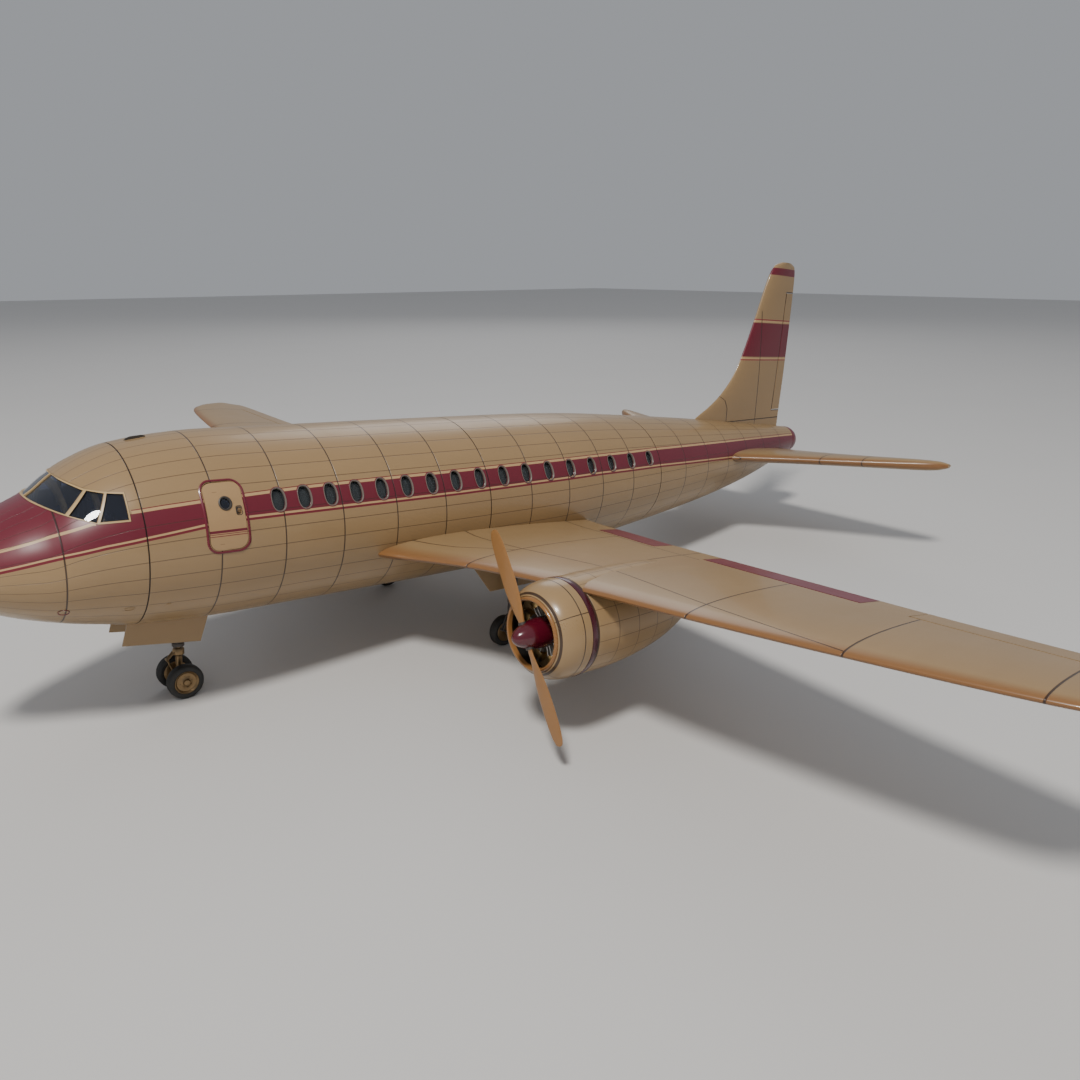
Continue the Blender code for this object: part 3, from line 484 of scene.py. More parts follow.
PAINTS = {
    "fuselage": fuselage_paint(),
    "wing": wing_paint("wing_paint", WING_LINES, (1.95, 3.05, 4.40, 5.65, 6.84), 0.10, (5.66, 3.3, 1.97)),
    "aileron": plain_paint("aileron_paint", TAN, 0.32),
    "stabiliser": wing_paint("stabiliser_paint", PLANE_LINES, (1.68, 2.20), 0.12, (0.72, 2.2)),
    "fin": fin_paint(),
    "crimson": plain_paint("crimson_paint", CRIMSON, 0.26, 0.2, 0.25),
    "flap": plain_paint("flap_paint", (0.15, 0.016, 0.030), 0.34, 0.2),
    "band": plain_paint("cowl_band_paint", (0.055, 0.008, 0.016), 0.20, 0.3, 0.4),
    "cream": plain_paint("cream_trim", (0.47, 0.32, 0.15), 0.33),
    "rim": plain_paint("window_rim", (0.16, 0.13, 0.11), 0.32),
    "ochre": plain_paint("ochre_paint", (0.25, 0.115, 0.035), 0.26, 0.2, 0.25),
    "door": door_paint(),
    "cowl": cowl_paint(),
    "nacelle": nacelle_paint(),
    "belly": plain_paint("door_panel_paint", TAN, 0.36),
    "lining": plain_paint("cabin_lining", (0.16, 0.15, 0.145), 0.7, 0.3, 0.0),
    "carpet": plain_paint("cabin_carpet", (0.075, 0.05, 0.045), 0.85, 0.5, 0.0),
    "rib": plain_paint("cockpit_rib", (0.85, 0.52, 0.12), 0.4),
    "glass": glass_paint("cabin_glass", (0.30, 0.34, 0.36), 0.92),
    "screen": glass_paint("cockpit_glass", (0.20, 0.23, 0.33), 0.95),
    # Near-black painted shade for the slits between fuselage sections and the hollows inside the cowls and
    # behind the engines.
    "black": plain_paint("painted_shade_black", (0.012, 0.011, 0.010), 0.7, 0.4, 0.0),
    "dark": plain_paint("dark_fitting", (0.045, 0.038, 0.032), 0.45, 0.4, 0.0),
    "rubber": rubber_paint(),
    "bronze": metal("bronze", (0.27, 0.185, 0.10), 0.36, 0.5),
    "steel": metal("dark_steel", (0.10, 0.09, 0.085), 0.45, 0.5, 0.85),
    "gold": metal("gilded_alloy", (0.72, 0.50, 0.22), 0.36, 0.4),
    "silver": metal("silver_alloy", (0.62, 0.60, 0.57), 0.34, 0.3),
    "blade": plain_paint("blade_paint", (0.275, 0.130, 0.040), 0.28, 0.22, 0.2),
    "spinner": plain_paint("spinner_paint", (0.080, 0.004, 0.012), 0.18, 0.16, 0.6),
}


# ---------------------------------------------------------------- mesh helpers


def mesh_of(points, faces, sharp=35.0):
    mesh = bpy.data.meshes.new("piece")
    mesh.from_pydata([Vector(p) * UNIT for p in points], [], faces)
    work = bmesh.new()
    work.from_mesh(mesh)
    bmesh.ops.remove_doubles(work, verts=work.verts, dist=2e-7)
    bmesh.ops.recalc_face_normals(work, faces=work.faces)
    work.to_mesh(mesh)
    work.free()
    mesh.shade_smooth()
    mesh.set_sharp_from_angle(angle=math.radians(sharp))
    return mesh


def piece(name, mesh, paint, body="airframe", stands_for=()):
    """Puts a mesh on the airframe, riding on a body."""
    item = bpy.data.objects.new("v_" + name, mesh)
    item.matrix_world = AIRFRAME
    bpy.context.scene.collection.objects.link(item)
    mesh.materials.clear()
    mesh.materials.append(PAINTS[paint])
    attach(item, body)
    if stands_for:
        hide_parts(*([stands_for] if isinstance(stands_for, str) else stands_for))
    return item


def lay_out(mesh, where):
    """Stores a function of each point as the piece's flat coordinates."""
    if "flat" in mesh.attributes:
        mesh.attributes.remove(mesh.attributes["flat"])
    layer = mesh.attributes.new("flat", "FLOAT_VECTOR", "POINT")
    for vertex, value in zip(mesh.vertices, layer.data):
        value.vector = (*where(vertex.co / UNIT), 0.0)


def circle(count, start=0.0):
    return [start + math.tau * k / count for k in range(count)]


def spread(low, high, count):
    return [low + (high - low) * k / (count - 1) for k in range(count)]


def loft(rings, wrap=False, caps=True):
    count = len(rings[0])
    points = [p for ring in rings for p in ring]
    faces = []
    for i in range(len(rings) if wrap else len(rings) - 1):
        here = i * count
        there = (i + 1) % len(rings) * count
        for k in range(count):
            step = (k + 1) % count
            faces.append((here + k, here + step, there + step, there + k))
    if caps and not wrap:
        faces.append(tuple(range(count)))
        faces.append(tuple(range(len(points) - count, len(points))))
    return points, faces


def merged(*shapes):
    points = []
    faces = []
    for more, sides in shapes:
        faces += [tuple(k + len(points) for k in face) for face in sides]
        points += more
    return points, faces


def turned(profile, centre, axis="X", count=64, wrap=False):
    """A profile of (along, radius) turned about an axis through centre."""
    rings = []
    for along, radius in profile:
        ring = []
        for a in circle(count):
            c = radius * math.cos(a)
            s = radius * math.sin(a)
            offset = {"X": (along, c, s), "Y": (c, along, s), "Z": (c, s, along)}[axis]
            ring.append(tuple(m + n for m, n in zip(centre, offset)))
        rings.append(ring)
    return loft(rings, wrap)


def rod(start, end, radius, count=16, far_radius=None):
    start = Vector(start)
    along = Vector(end) - start
    turn = along.to_track_quat("Z", "Y")
    rings = []
    for far, size in ((0.0, radius), (along.length, far_radius or radius)):
        ring = [Vector((size * math.cos(a), size * math.sin(a), far)) for a in circle(count)]
        rings.append([tuple(start + turn @ p) for p in ring])
    return loft(rings)


def block(x, y, z, bevel=0.0):
    """A box with rounded edges along its height."""
    inset = bevel
    rings = []
    for height, shrink in ((z[0], inset), (z[0] + inset, 0.0), (z[1] - inset, 0.0), (z[1], inset)):
        ring = []
        for cx, cy, sx, sy in (
            (x[0], y[0], 1, 1), (x[1], y[0], -1, 1), (x[1], y[1], -1, -1), (x[0], y[1], 1, -1)
        ):
            a = (cx + sx * (shrink + inset), cy + sy * shrink)
            b = (cx + sx * shrink, cy + sy * (shrink + inset))
            ring += [b, a] if sx * sy > 0 else [a, b]
        rings.append([(*p, height) for p in ring])
    return loft(rings)


def smooth(table, at, key=lambda x: x):
    """A curve through the rows of a table, read at one place of its first column."""
    keys = [key(row[0]) for row in table]
    at = key(at)
    i = max(k for k in range(len(keys) - 1) if k == 0 or keys[k] <= at)
    width = keys[i + 1] - keys[i]
    t = (at - keys[i]) / width
    values = []
    for column in range(1, len(table[0])):
        y = [row[column] for row in table]

        def slope(k):
            low = max(k - 1, 0)
            high = min(k + 1, len(keys) - 1)
            return (y[high] - y[low]) / (keys[high] - keys[low])

        a = (2 * t**3 - 3 * t**2 + 1) * y[i] + (t**3 - 2 * t**2 + t) * width * slope(i)
        b = (3 * t**2 - 2 * t**3) * y[i + 1] + (t**3 - t**2) * width * slope(i + 1)
        values.append(a + b)
    return values


# ---------------------------------------------------------------- fuselage


def profile_at(x):
    top, bottom, half = smooth(PROFILE, x, lambda v: math.sqrt(max(v - NOSE_TIP, 0.0)))
    return (top + bottom) / 2, (top - bottom) / 2, half


def skin(x, angle, grow=0.0):
    """A point of the fuselage's skin, at an angle from starboard over the top."""
    middle, tall, half = profile_at(x)
    return (x, (half + grow) * math.cos(angle), middle + (tall + grow) * math.sin(angle))


def skin_y(x, z, grow=0.0):
    middle, tall, half = profile_at(x)
    rise = (z - middle) / (tall + grow)
    return (half + grow) * math.sqrt(max(1 - rise * rise, 0.0))


def skin_normal(p):
    def field(x, y, z):
        middle, tall, half = profile_at(x)
        return (y / half) ** 2 + ((z - middle) / tall) ** 2

    e = 0.002
    x = max(p.x, NOSE_TIP + 2 * e)
    middle, tall, half = profile_at(x)
    across = (field(x + e, p.y, p.z) - field(x - e, p.y, p.z)) / (2 * e)
    return Vector((across, 2 * p.y / half**2, 2 * (p.z - middle) / tall**2)).normalized()


def shell(stations, outer=0.0, inner=-WALL, angles=None):
    """A thick patch of fuselage. With no angles it goes all the way round."""
    if angles is None:
        turns = circle(144)
        rings = [[skin(x, a, outer) for a in turns] for x in stations]
        rings += [[skin(x, a, inner) for a in turns] for x in reversed(stations)]
        return loft(rings, wrap=True)
    rings = []
    for x in stations:
        ring = [skin(x, a, outer) for a in angles]
        ring += [skin(x, a, inner) for a in reversed(angles)]
        rings.append(ring)
    return loft(rings)


def prism(outline, low, high, lean=0.0, about=0.0):
    return loft([[(x, y, z + lean * (y - about)) for x, z in outline] for y in (low, high)])


def oval(x, z, wide, tall, count=40, power=2.4):
    points = []
    for a in circle(count):
        c = math.cos(a)
        s = math.sin(a)
        across = math.copysign(abs(c) ** (2 / power), c)
        up = math.copysign(abs(s) ** (2 / power), s)
        points.append((x + wide / 2 * across, z + tall / 2 * up))
    return points


def rounded(x, z, corner, count=9, edge=6):
    points = []
    centres = ((x[1], z[1], 1, 1), (x[0], z[1], -1, 1), (x[0], z[0], -1, -1), (x[1], z[0], 1, -1))
    for quarter, (cx, cz, sx, sz) in enumerate(centres):
        for k in range(count):
            angle = math.pi / 2 * (quarter + k / (count - 1))
            points.append(
                (cx - sx * corner + corner * math.cos(angle), cz - sz * corner + corner * math.sin(angle))
            )
    full = []
    for here, there in zip(points, points[1:] + points[:1]):
        full.append(here)
        if math.dist(here, there) > corner:
            for k in range(1, edge):
                full.append(tuple(a + (b - a) * k / edge for a, b in zip(here, there)))
    return full


def carved(shape, cuts=(), keeps=()):
    """A shape with others cut from it, or kept to others, by Booleans."""
    item = bpy.data.objects.new("carving", mesh_of(*shape))
    bpy.context.scene.collection.objects.link(item)
    tools = []
    for operation, others in (("INTERSECT", keeps), ("DIFFERENCE", cuts)):
        for other in others:
            tool = bpy.data.objects.new("tool", mesh_of(*other))
            bpy.context.scene.collection.objects.link(tool)
            tools.append(tool)
            step = item.modifiers.new("step", "BOOLEAN")
            step.operation = operation
            step.object = tool
            step.solver = "EXACT"
    bpy.context.view_layer.update()
    graph = bpy.context.evaluated_depsgraph_get()
    mesh = bpy.data.meshes.new_from_object(item.evaluated_get(graph))
    for extra in tools + [item]:
        bpy.data.objects.remove(extra, do_unlink=True)
    return mesh


def skinned(mesh, lining=None):
    """Gives a carved patch the true skin's normals and its flat coordinates: x and the angle in degrees."""
    place = {}
    for vertex in mesh.vertices:
        p = vertex.co / UNIT
        middle, tall, half = profile_at(p.x)
        reach = math.hypot(p.y / half, (p.z - middle) / tall) - 1.0
        place[vertex.index] = (reach * min(half, tall), skin_normal(p))
    normals = [None] * len(mesh.loops)
    mesh.shade_smooth()
    for polygon in mesh.polygons:
        depths = [place[k][0] for k in polygon.vertices]
        level = max(depths) - min(depths) < 0.008
        for k, corner in zip(polygon.vertices, polygon.loop_indices):
            normal = place[k][1]
            facing = polygon.normal.dot(normal)
            if level and abs(facing) > 0.6:
                normals[corner] = normal * math.copysign(1.0, facing)
            else:
                normals[corner] = polygon.normal.copy()
        if lining is not None and level and polygon.normal.dot(place[polygon.vertices[0]][1]) < 0:
            polygon.material_index = 1
    mesh.normals_split_custom_set(normals)

    def where(p):
        middle, tall, half = profile_at(p.x)
        return p.x, math.degrees(math.atan2((p.z - middle) / tall, abs(p.y) / half))

    lay_out(mesh, where)
    return mesh


def bead(outline, side, rows, close=True, grow=0.0):
    """A strip along an (x, z) outline on the skin. Rows are (outwards from the outline, above the skin)."""
    points = []
    for x, z in outline:
        points.append(Vector((x, side * skin_y(x, z, grow), z)))
    count = len(points)
    rings = []
    for k, p in enumerate(points):
        ahead = points[(k + 1) % count] - points[k - 1]
        normal = skin_normal(p)
        out = normal.cross(ahead).normalized() * side
        rings.append([tuple(p + out * a + normal * b) for a, b in rows])
    return loft(rings, wrap=True)


def window_outline(number, grow=0.0):
    x = WINDOWS[number]
    shrink = (
        1.0, 1.0, 1.0, 1.0, 1.0, 1.0, 1.0, 1.0, 1.0, 1.0, 1.0, 1.0, 0.97, 0.93, 0.91, 0.89, 0.85
    )[number]
    return oval(x, WINDOW_Z, WINDOW_SIZE[0] + 2 * grow, WINDOW_SIZE[1] * shrink + 2 * grow)


def section_stations(low, high, step):
    return spread(low + GAP / 2, high - GAP / 2, max(3, round((high - low) / step) + 1))


def make_fuselage():
    door_hole = rounded(DOOR_X, DOOR_Z, DOOR_CORNER)
    holes = [prism(window_outline(k), -1.2, 1.2) for k in range(17)]
    windows = merged(*holes)
    door = prism(door_hole, -1.2, -0.5)
    bay = merged(block((-1.25, -0.50), (-0.20, 0.20), (-1.2, -0.6)))
    glazing = prism(GLAZING, -1.2, 1.2)

    span = SEAMS[0] - GAP / 2 - NOSE_TIP
    nose = [NOSE_TIP + span * (0.03 + 0.97 * k / 22) ** 2 for k in range(23)]
    rings = [[skin(x, a) for a in circle(144)] for x in nose]
    rings += [[skin(x, a, -WALL) for a in circle(144)] for x in nose[:8:-1]]
    piece("nose_cone", skinned(mesh_of(*loft(rings))), "fuselage", stands_for="nose_cone")

    names = ("flight_deck_shell", "forward_cabin_shell", "aft_cabin_shell", "tail_shell")
    cuts = ((glazing, bay), (windows, door, bay), (windows,), ())
    steps = (0.05, 0.15, 0.12, 0.14)
    for name, low, high, step, tools in zip(names, SEAMS, SEAMS[1:], steps, cuts):
        mesh = carved(shell(section_stations(low, high, step)), tools)
        piece(name, mesh, "fuselage", stands_for=name)
        mesh.materials.append(PAINTS["lining"])
        skinned(mesh, "lining")
    for low in SEAMS[:5]:
        ring = [[skin(x, a, g) for a in circle(96)] for x, g in ((low - 0.02, -0.008), (low + 0.02, -0.008))]
        ring += [[skin(x, a, -0.028) for a in circle(96)] for x in (low + 0.02, low - 0.02)]
        # The joiner's near-black is painted shade in the seam's slit.
        piece(f"seam_joiner_{round(low * 100)}", mesh_of(*loft(ring, wrap=True)), "black")

    middle, tall, half = profile_at(TAIL_END)
    rings = []
    for angle in spread(0.0, math.pi / 2 - 0.06, 16):
        x = TAIL_END + GAP / 2 + (TAIL_TIP - TAIL_END) * math.sin(angle)
        share = math.cos(angle)
        rings.append(
            [(x, half * share * math.cos(a), middle + tall * share * math.sin(a)) for a in circle(96)]
        )
    piece("tail_cap", mesh_of(*loft(rings)), "crimson", stands_for="tail_cap")
    seat = (TAIL_TIP - 0.03, 0.0, 0.15)
    lamp = [(-0.02, 0.034), (0.018, 0.034), (0.022, 0.030), (0.038, 0.026), (0.047, 0.016), (0.05, 0.004)]
    piece("tail_light", mesh_of(*turned(lamp, seat, "X", 32)), "glass", stands_for="tail_light")


def make_windows():
    for side, sign in SIDES:
        outer = []
        inner = []
        for k in range(17):
            outline = window_outline(k)
            outer.append(
                bead(outline, sign, ((0.005, -0.004), (0.014, -0.002), (0.013, 0.003), (0.006, 0.004)))
            )
            inner.append(
                bead(
                    outline, sign,
                    ((-0.005, -0.018), (0.006, -0.004), (0.006, 0.005), (0.0, 0.006), (-0.005, 0.0))
                )
            )
        piece("window_surrounds_" + side, mesh_of(*merged(*outer)), "crimson")
        piece("window_rims_" + side, mesh_of(*merged(*inner)), "rim")
        angles = spread(math.radians(10), math.radians(42), 16)
        angles = [a if sign > 0 else math.pi - a for a in angles]
        panes = shell(spread(-0.18, 5.36, 56), -WALL - GAP, -WALL - GAP - 0.014, angles)
        piece("cabin_glazing_" + side, mesh_of(*panes), "glass", stands_for="cabin_glazing_" + side)


def make_door():
    outline = rounded(DOOR_X, DOOR_Z, DOOR_CORNER)
    surround = bead(
        outline, -1, ((0.006, -0.010), (0.028, -0.004), (0.026, 0.005), (0.016, 0.009), (0.007, 0.006))
    )
    piece("door_surround", mesh_of(*surround), "crimson")
    angles = spread(math.radians(180 + 6), math.radians(180 - 44), 30)
    patch = shell(spread(-0.76, -0.30, 24), 0.004, -WALL, angles)
    leaf_outline = rounded((DOOR_X[0] + 0.004, DOOR_X[1] - 0.004), (-0.037, 0.614), DOOR_CORNER)
    leaf = prism(leaf_outline, -1.2, -0.5, -0.375, -0.944)
    x, z, radius = PORTHOLE
    light = prism(oval(x, z, 2 * radius, 2 * radius, 40, 2.0), -1.2, -0.5)
    recess = prism(rounded((-0.440, -0.396), (0.285, 0.352), 0.012, 5, 2), -1.2, -0.918)
    mesh = carved(patch, (light, recess), (leaf,))
    piece("passenger_door", mesh, "door", "door", "passenger_door")
    mesh.materials.append(PAINTS["lining"])
    skinned(mesh, "lining")
    ring = bead(
        oval(x, z, 2 * radius, 2 * radius, 40, 2.0), -1,
        ((-0.008, -0.020), (0.010, 0.000), (0.010, 0.010), (0.0, 0.014), (-0.008, 0.004))
    )
    piece("porthole_ring", mesh_of(*ring), "dark", "door")
    pane = carved(
        shell(spread(x - 0.08, x + 0.08, 9), -0.006, -0.020, spread(math.radians(160), math.radians(148), 9)),
        (), (prism(oval(x, z, 0.094, 0.094, 40, 2.0), -1.2, -0.5),)
    )
    piece("door_window", skinned(pane), "screen", "door", "door_window")
    y = -skin_y(-0.41, 0.32) + 0.004
    grip = merged(
        rod((-0.434, y, 0.345), (-0.402, y, 0.345), 0.005, 12),
        rod((-0.434, y, 0.345), (-0.434, y - 0.001, 0.292), 0.005, 12),
        rod((-0.434, y, 0.292), (-0.402, y, 0.292), 0.005, 12),
    )
    piece("door_handle", mesh_of(*grip), "steel", "door", "door_handle")
    outer = bead(
        rounded((-0.443, -0.393), (0.282, 0.355), 0.014, 5, 2), -1,
        ((-0.002, -0.002), (0.004, -0.002), (0.004, 0.006), (-0.002, 0.006))
    )
    piece("handle_frame", mesh_of(*outer), "dark", "door")


def shrunk(outline, by):
    cx = sum(x for x, z in outline) / len(outline)
    cz = sum(z for x, z in outline) / len(outline)
    points = []
    for x, z in outline:
        away = Vector((x - cx, z - cz))
        points.append((x - by * away.x / away.length, z - by * away.y / away.length))
    return points


def make_cockpit():
    stations = spread(-2.24, -1.24, 60)
    angles = spread(0.0, math.pi, 120)
    cuts = []
    for pane in PANES:
        pane = shrunk(pane, -0.010)
        cuts += [prism(pane, -1.2, -0.012), prism(pane, 0.012, 1.2)]
    mesh = carved(shell(stations, 0.003, -0.012, angles), cuts, (prism(shrunk(GLAZING, 0.004), -1.2, 1.2),))
    piece("cockpit_frame", skinned(mesh), "cream", stands_for="cockpit_frame")
    mesh = carved(shell(stations, -0.013, -0.019, angles), (), (prism(shrunk(GLAZING, 0.004), -1.2, 1.2),))
    piece("cockpit_glass", skinned(mesh), "screen", stands_for="cockpit_glass")
    ribs = []
    for x, low, high in ((-1.98, 20, 160), (-1.72, 14, 166), (-1.50, 14, 166)):
        turns = spread(math.radians(low), math.radians(high), 40)
        rings = []
        for a in turns:
            rings.append(
                [
                    skin(x + dx, a, -WALL - dz) for dx,
                    dz in ((-0.018, 0.0), (0.018, 0.0), (0.018, 0.045), (-0.018, 0.045))
                ]
            )
        ribs.append(loft(rings))
    piece("cockpit_ribs", mesh_of(*merged(*ribs)), "rib")
    wall = [[skin(x, a, -WALL - GAP) for a in circle(96)] for x in (-1.235, -1.225)]
    piece("cockpit_bulkhead", mesh_of(*loft(wall)), "lining")
    desk = [(-1.98, 0.02), (-1.72, 0.02), (-1.70, 0.17), (-1.80, 0.24), (-2.00, 0.22)]
    piece("instrument_panel", mesh_of(*prism(desk, -0.50, 0.50)), "dark")
    seats = []
    for y in (-0.34, 0.34):
        seats.append(block((-1.62, -1.36), (y - 0.15, y + 0.15), (-0.25, -0.12), 0.03))
        seats.append(block((-1.42, -1.33), (y - 0.15, y + 0.15), (-0.12, 0.30), 0.03))
        seats.append(rod((-1.50, y, -0.37), (-1.50, y, -0.25), 0.05, 20))
    piece("pilot_seats", mesh_of(*merged(*seats)), "carpet")


# ---------------------------------------------------------------- lifting surfaces


def half_thick(c, thick):
    half = 0.2969 * math.sqrt(c) - 0.126 * c - 0.3516 * c**2 + 0.2843 * c**3 - 0.1036 * c**4
    return 5 * thick * (half + 0.0006)


class Lifting:
    """A lifting surface with hinged pieces along its trailing edge."""

    def __init__(self, table, back, place, slope=0.0):
        self.table = table
        self.back = back
        self.place = place
        self.slope = slope

    def at(self, s):
        return smooth(self.table, s)

    def hinge(self, s):
        lead, trail, thick = self.at(s)
        return max(0.35, (trail - self.back - lead) / (trail - lead))

    def point(self, s, c, up):
        lead, trail, thick = self.at(s)
        chord = trail - lead
        x = lead + c * chord
        behind = max(0.0, x - (trail - self.back))
        lean = self.slope * behind * min(1.0, max(0.0, (7.1 - s) / 0.25))
        return self.place(x, s + lean, up * half_thick(c, thick))

    def front(self, s):
        h = self.hinge(s)
        steps = [h * (1 - math.cos(math.pi / 2 * k / 16)) for k in range(17)]
        ring = [(c, 1) for c in reversed(steps)] + [(c, -1) for c in steps[1:]]
        return [(c, self.point(s, c, u)) for c, u in ring]

    def aft(self, s, ahead=0.0, count=7):
        lead, trail, thick = self.at(s)
        h = self.hinge(s) + ahead / (trail - lead)
        steps = spread(h, 1.0, count)
        ring = [(c, 1) for c in steps] + [(c, -1) for c in reversed(steps)]
        return [(c, self.point(s, c, u)) for c, u in ring]

    def stations(self, bays, step):
        low = self.table[0][0]
        high = self.table[-1][0]
        marks = {low, high}
        for a, b in bays:
            marks |= {a, b}
        marks = sorted(marks)
        result = []
        for a, b in zip(marks, marks[1:]):
            count = max(2, round((b - a) / step) + 1)
            result += spread(a, b, count)[:-1]
        tip = [high - (high - result[-1]) * (1 - k / 6) ** 2 for k in range(1, 6)]
        return result + tip + [high]

    def body(self, bays, step=0.12):
        """The fixed part, with a bay behind the hinge line for each moving piece."""
        stations = self.stations(bays, step)
        points = []
        faces = []
        flat = []

        def put(ring):
            start = len(points)
            for c, p in ring:
                points.append(p)
                flat.append(c)
            return start

        rows = []
        for s in stations:
            front = self.front(s)
            aft = self.aft(s)
            rows.append((put(front), len(front), put(aft), len(aft)))
        for k in range(len(rows) - 1):
            a, n, b, m = rows[k]
            a2, _, b2, _ = rows[k + 1]
            middle = (stations[k] + stations[k + 1]) / 2
            inside = any(low < middle < high for low, high in bays)
            for i in range(n - 1):
                faces.append((a + i, a + i + 1, a2 + i + 1, a2 + i))
            if inside:
                faces.append((a + n - 1, a, a2, a2 + n - 1))
            else:
                for i in range(m - 1):
                    faces.append((b + i, b + i + 1, b2 + i + 1, b2 + i))
        for k, s in enumerate(stations):
            if any(s in bay for bay in bays):
                faces.append(tuple(range(rows[k][2], rows[k][2] + rows[k][3])))
        for k in (0, len(rows) - 1):
            a, n, b, m = rows[k]
            faces.append(tuple(range(a, a + n)))
            faces.append(tuple(range(b, b + m)))
        return points, faces

    def moving(self, low, high, gap, ends=0.008, step=0.12):
        """One hinged piece, with a rounded nose that stands in the gap."""
        rings = []
        stations = spread(low + ends, high - ends, max(3, round((high - low) / step)))
        for s in stations:
            ring = [p for c, p in self.aft(s, gap)]
            upper = Vector(ring[0])
            lower = Vector(ring[-1])
            nose = []
            for k in range(1, 8):
                a = math.pi * k / 8
                p = (upper + lower) / 2 + (lower - upper) / 2 * -math.cos(a)
                p.x -= gap * 0.72 * math.sin(a)
                nose.append(tuple(p))
            rings.append(ring + nose)
        return loft(rings)


def lifting_mesh(surface, shape, inverse):
    mesh = mesh_of(*shape, sharp=50.0)

    def where(p):
        s, x = inverse(p)
        s = min(max(s, surface.table[0][0]), surface.table[-1][0])
        lead, trail, thick = surface.at(s)
        return (x - lead) / (trail - lead), s

    lay_out(mesh, where)
    return mesh


def make_wings():
    for side, sign in SIDES:

        def place(x, s, up, sign=sign):
            return (x, sign * s, -0.38 + 0.077 * s + up)

        wing = Lifting(WING, 0.27, place, 0.15)
        bays = [(low, high) for name, low, high in FLAPS]
        mesh = lifting_mesh(wing, wing.body(bays), lambda p: (abs(p.y), p.x))
        piece("wing_" + side, mesh, "wing", stands_for="wing_" + side)
        for name, low, high in FLAPS:
            label = f"{name}_{side}"
            paint = "aileron" if name == "aileron" else "flap"
            piece(label, mesh_of(*wing.moving(low, high, 0.020)), paint, label + "_body", label)

        def place(x, s, up, sign=sign):
            return (x, sign * s, 0.14 + 0.075 * s + up)

        plane = Lifting(STABILISER, 0.25, place)
        mesh = lifting_mesh(plane, plane.body([(0.75, 2.95)]), lambda p: (abs(p.y), p.x))
        piece("stabiliser_" + side, mesh, "stabiliser", stands_for="stabiliser_" + side)
        label = "elevator_" + side
        piece(label, mesh_of(*plane.moving(0.75, 2.95, 0.030)), "aileron", label + "_body", label)


def make_fin():
    fin = Lifting(FIN, 0.232, lambda x, s, up: (x, up, s))
    mesh = lifting_mesh(fin, fin.body([(0.79, 2.69)], 0.07), lambda p: (p.z, p.x))
    piece("fin", mesh, "fin", stands_for="fin")
    mesh = lifting_mesh(fin, fin.moving(0.79, 2.69, 0.020), lambda p: (p.z, p.x))
    piece("rudder", mesh, "fin", "rudder_body", "rudder")


# ---------------------------------------------------------------- engines


def make_engines():
    for side, sign in SIDES:
        centre = (0.0, sign * ENGINE_Y, ENGINE_Z)
        rows = (
            (1.44, 0.395), (1.56, 0.402), (1.604, 0.405), (1.606, 0.440), (1.75, 0.448), (1.9, 0.452),
            (2.3, 0.435)
        )
        rows += ((2.7, 0.385), (3.05, 0.285), (3.3, 0.15), (3.42, 0.04))
        stations = [1.44, 1.56, 1.604, 1.606, 1.62] + spread(1.66, 3.40, 36) + [3.42]
        rings = []
        for x in stations:
            radius = smooth(rows, x)[0] if x > 1.605 else 0.400
            middle = ENGINE_Z + 0.15 * max(0.0, (x - 1.9) / 1.5) ** 1.8
            rings.append(
                [(x, centre[1] + radius * math.cos(a), middle + radius * math.sin(a)) for a in circle(96)]
            )
        mesh = mesh_of(*loft(rings))

        def where(p, centre=centre):
            return math.degrees(math.atan2(p.z - centre[2], p.y - centre[1])) % 360, p.x

        lay_out(mesh, where)
        piece("nacelle_" + side, mesh, "nacelle", stands_for="nacelle_" + side)

        front = COWL_X[0]
        outer = [
            (front + 0.014, 0.338), (front + 0.020, 0.350), (front + 0.034, 0.368), (front + 0.055, 0.387)
        ]
        outer += [(front + 0.09, 0.408), (front + 0.13, 0.424)]
        outer += [
            (front + 0.17, 0.435), (front + 0.22, 0.443), (front + 0.28, 0.448), (front + 0.312, 0.4495)
        ]
        outer += [
            (front + 0.314, 0.440), (front + 0.314, 0.413), (front + 0.14, 0.395), (front + 0.06, 0.345)
        ]
        mesh = mesh_of(*turned(outer, centre, "X", 128, True))
        lay_out(mesh, where)
        piece("cowl_" + side, mesh, "cowl", stands_for="cowl_" + side)
        lip = [(front + 0.013, 0.334), (front + 0.001, 0.331), (front - 0.008, 0.323), (front - 0.011, 0.314)]
        lip += [
            (front - 0.006, 0.304), (front + 0.008, 0.298), (front + 0.035, 0.297), (front + 0.035, 0.334)
        ]
        piece("cowl_lip_" + side, mesh_of(*turned(lip, centre, "X", 128, True)), "ochre")
        liner = [(front + 0.036, 0.300), (front + 0.10, 0.345), (front + 0.20, 0.385), (front + 0.27, 0.392)]
        liner += [(front + 0.27, 0.398), (front + 0.14, 0.393), (front + 0.06, 0.343), (front + 0.036, 0.334)]
        # Painted shade: the inside of the cowl is near-black.
        piece("cowl_liner_" + side, mesh_of(*turned(liner, centre, "X", 96, True)), "black")
        band = [
            (front + 0.318, 0.4500), (front + 0.325, 0.4525), (front + 0.350, 0.4530),
            (front + 0.372, 0.4510)
        ]
        band += [(front + 0.374, 0.4440), (front + 0.374, 0.415), (front + 0.318, 0.415)]
        piece("cowl_flaps_" + side, mesh_of(*turned(band, centre, "X", 128, True)), "band")
        make_radial(side, centre)
        make_propeller(side, Vector((PROP_X, sign * ENGINE_Y, ENGINE_Z)))


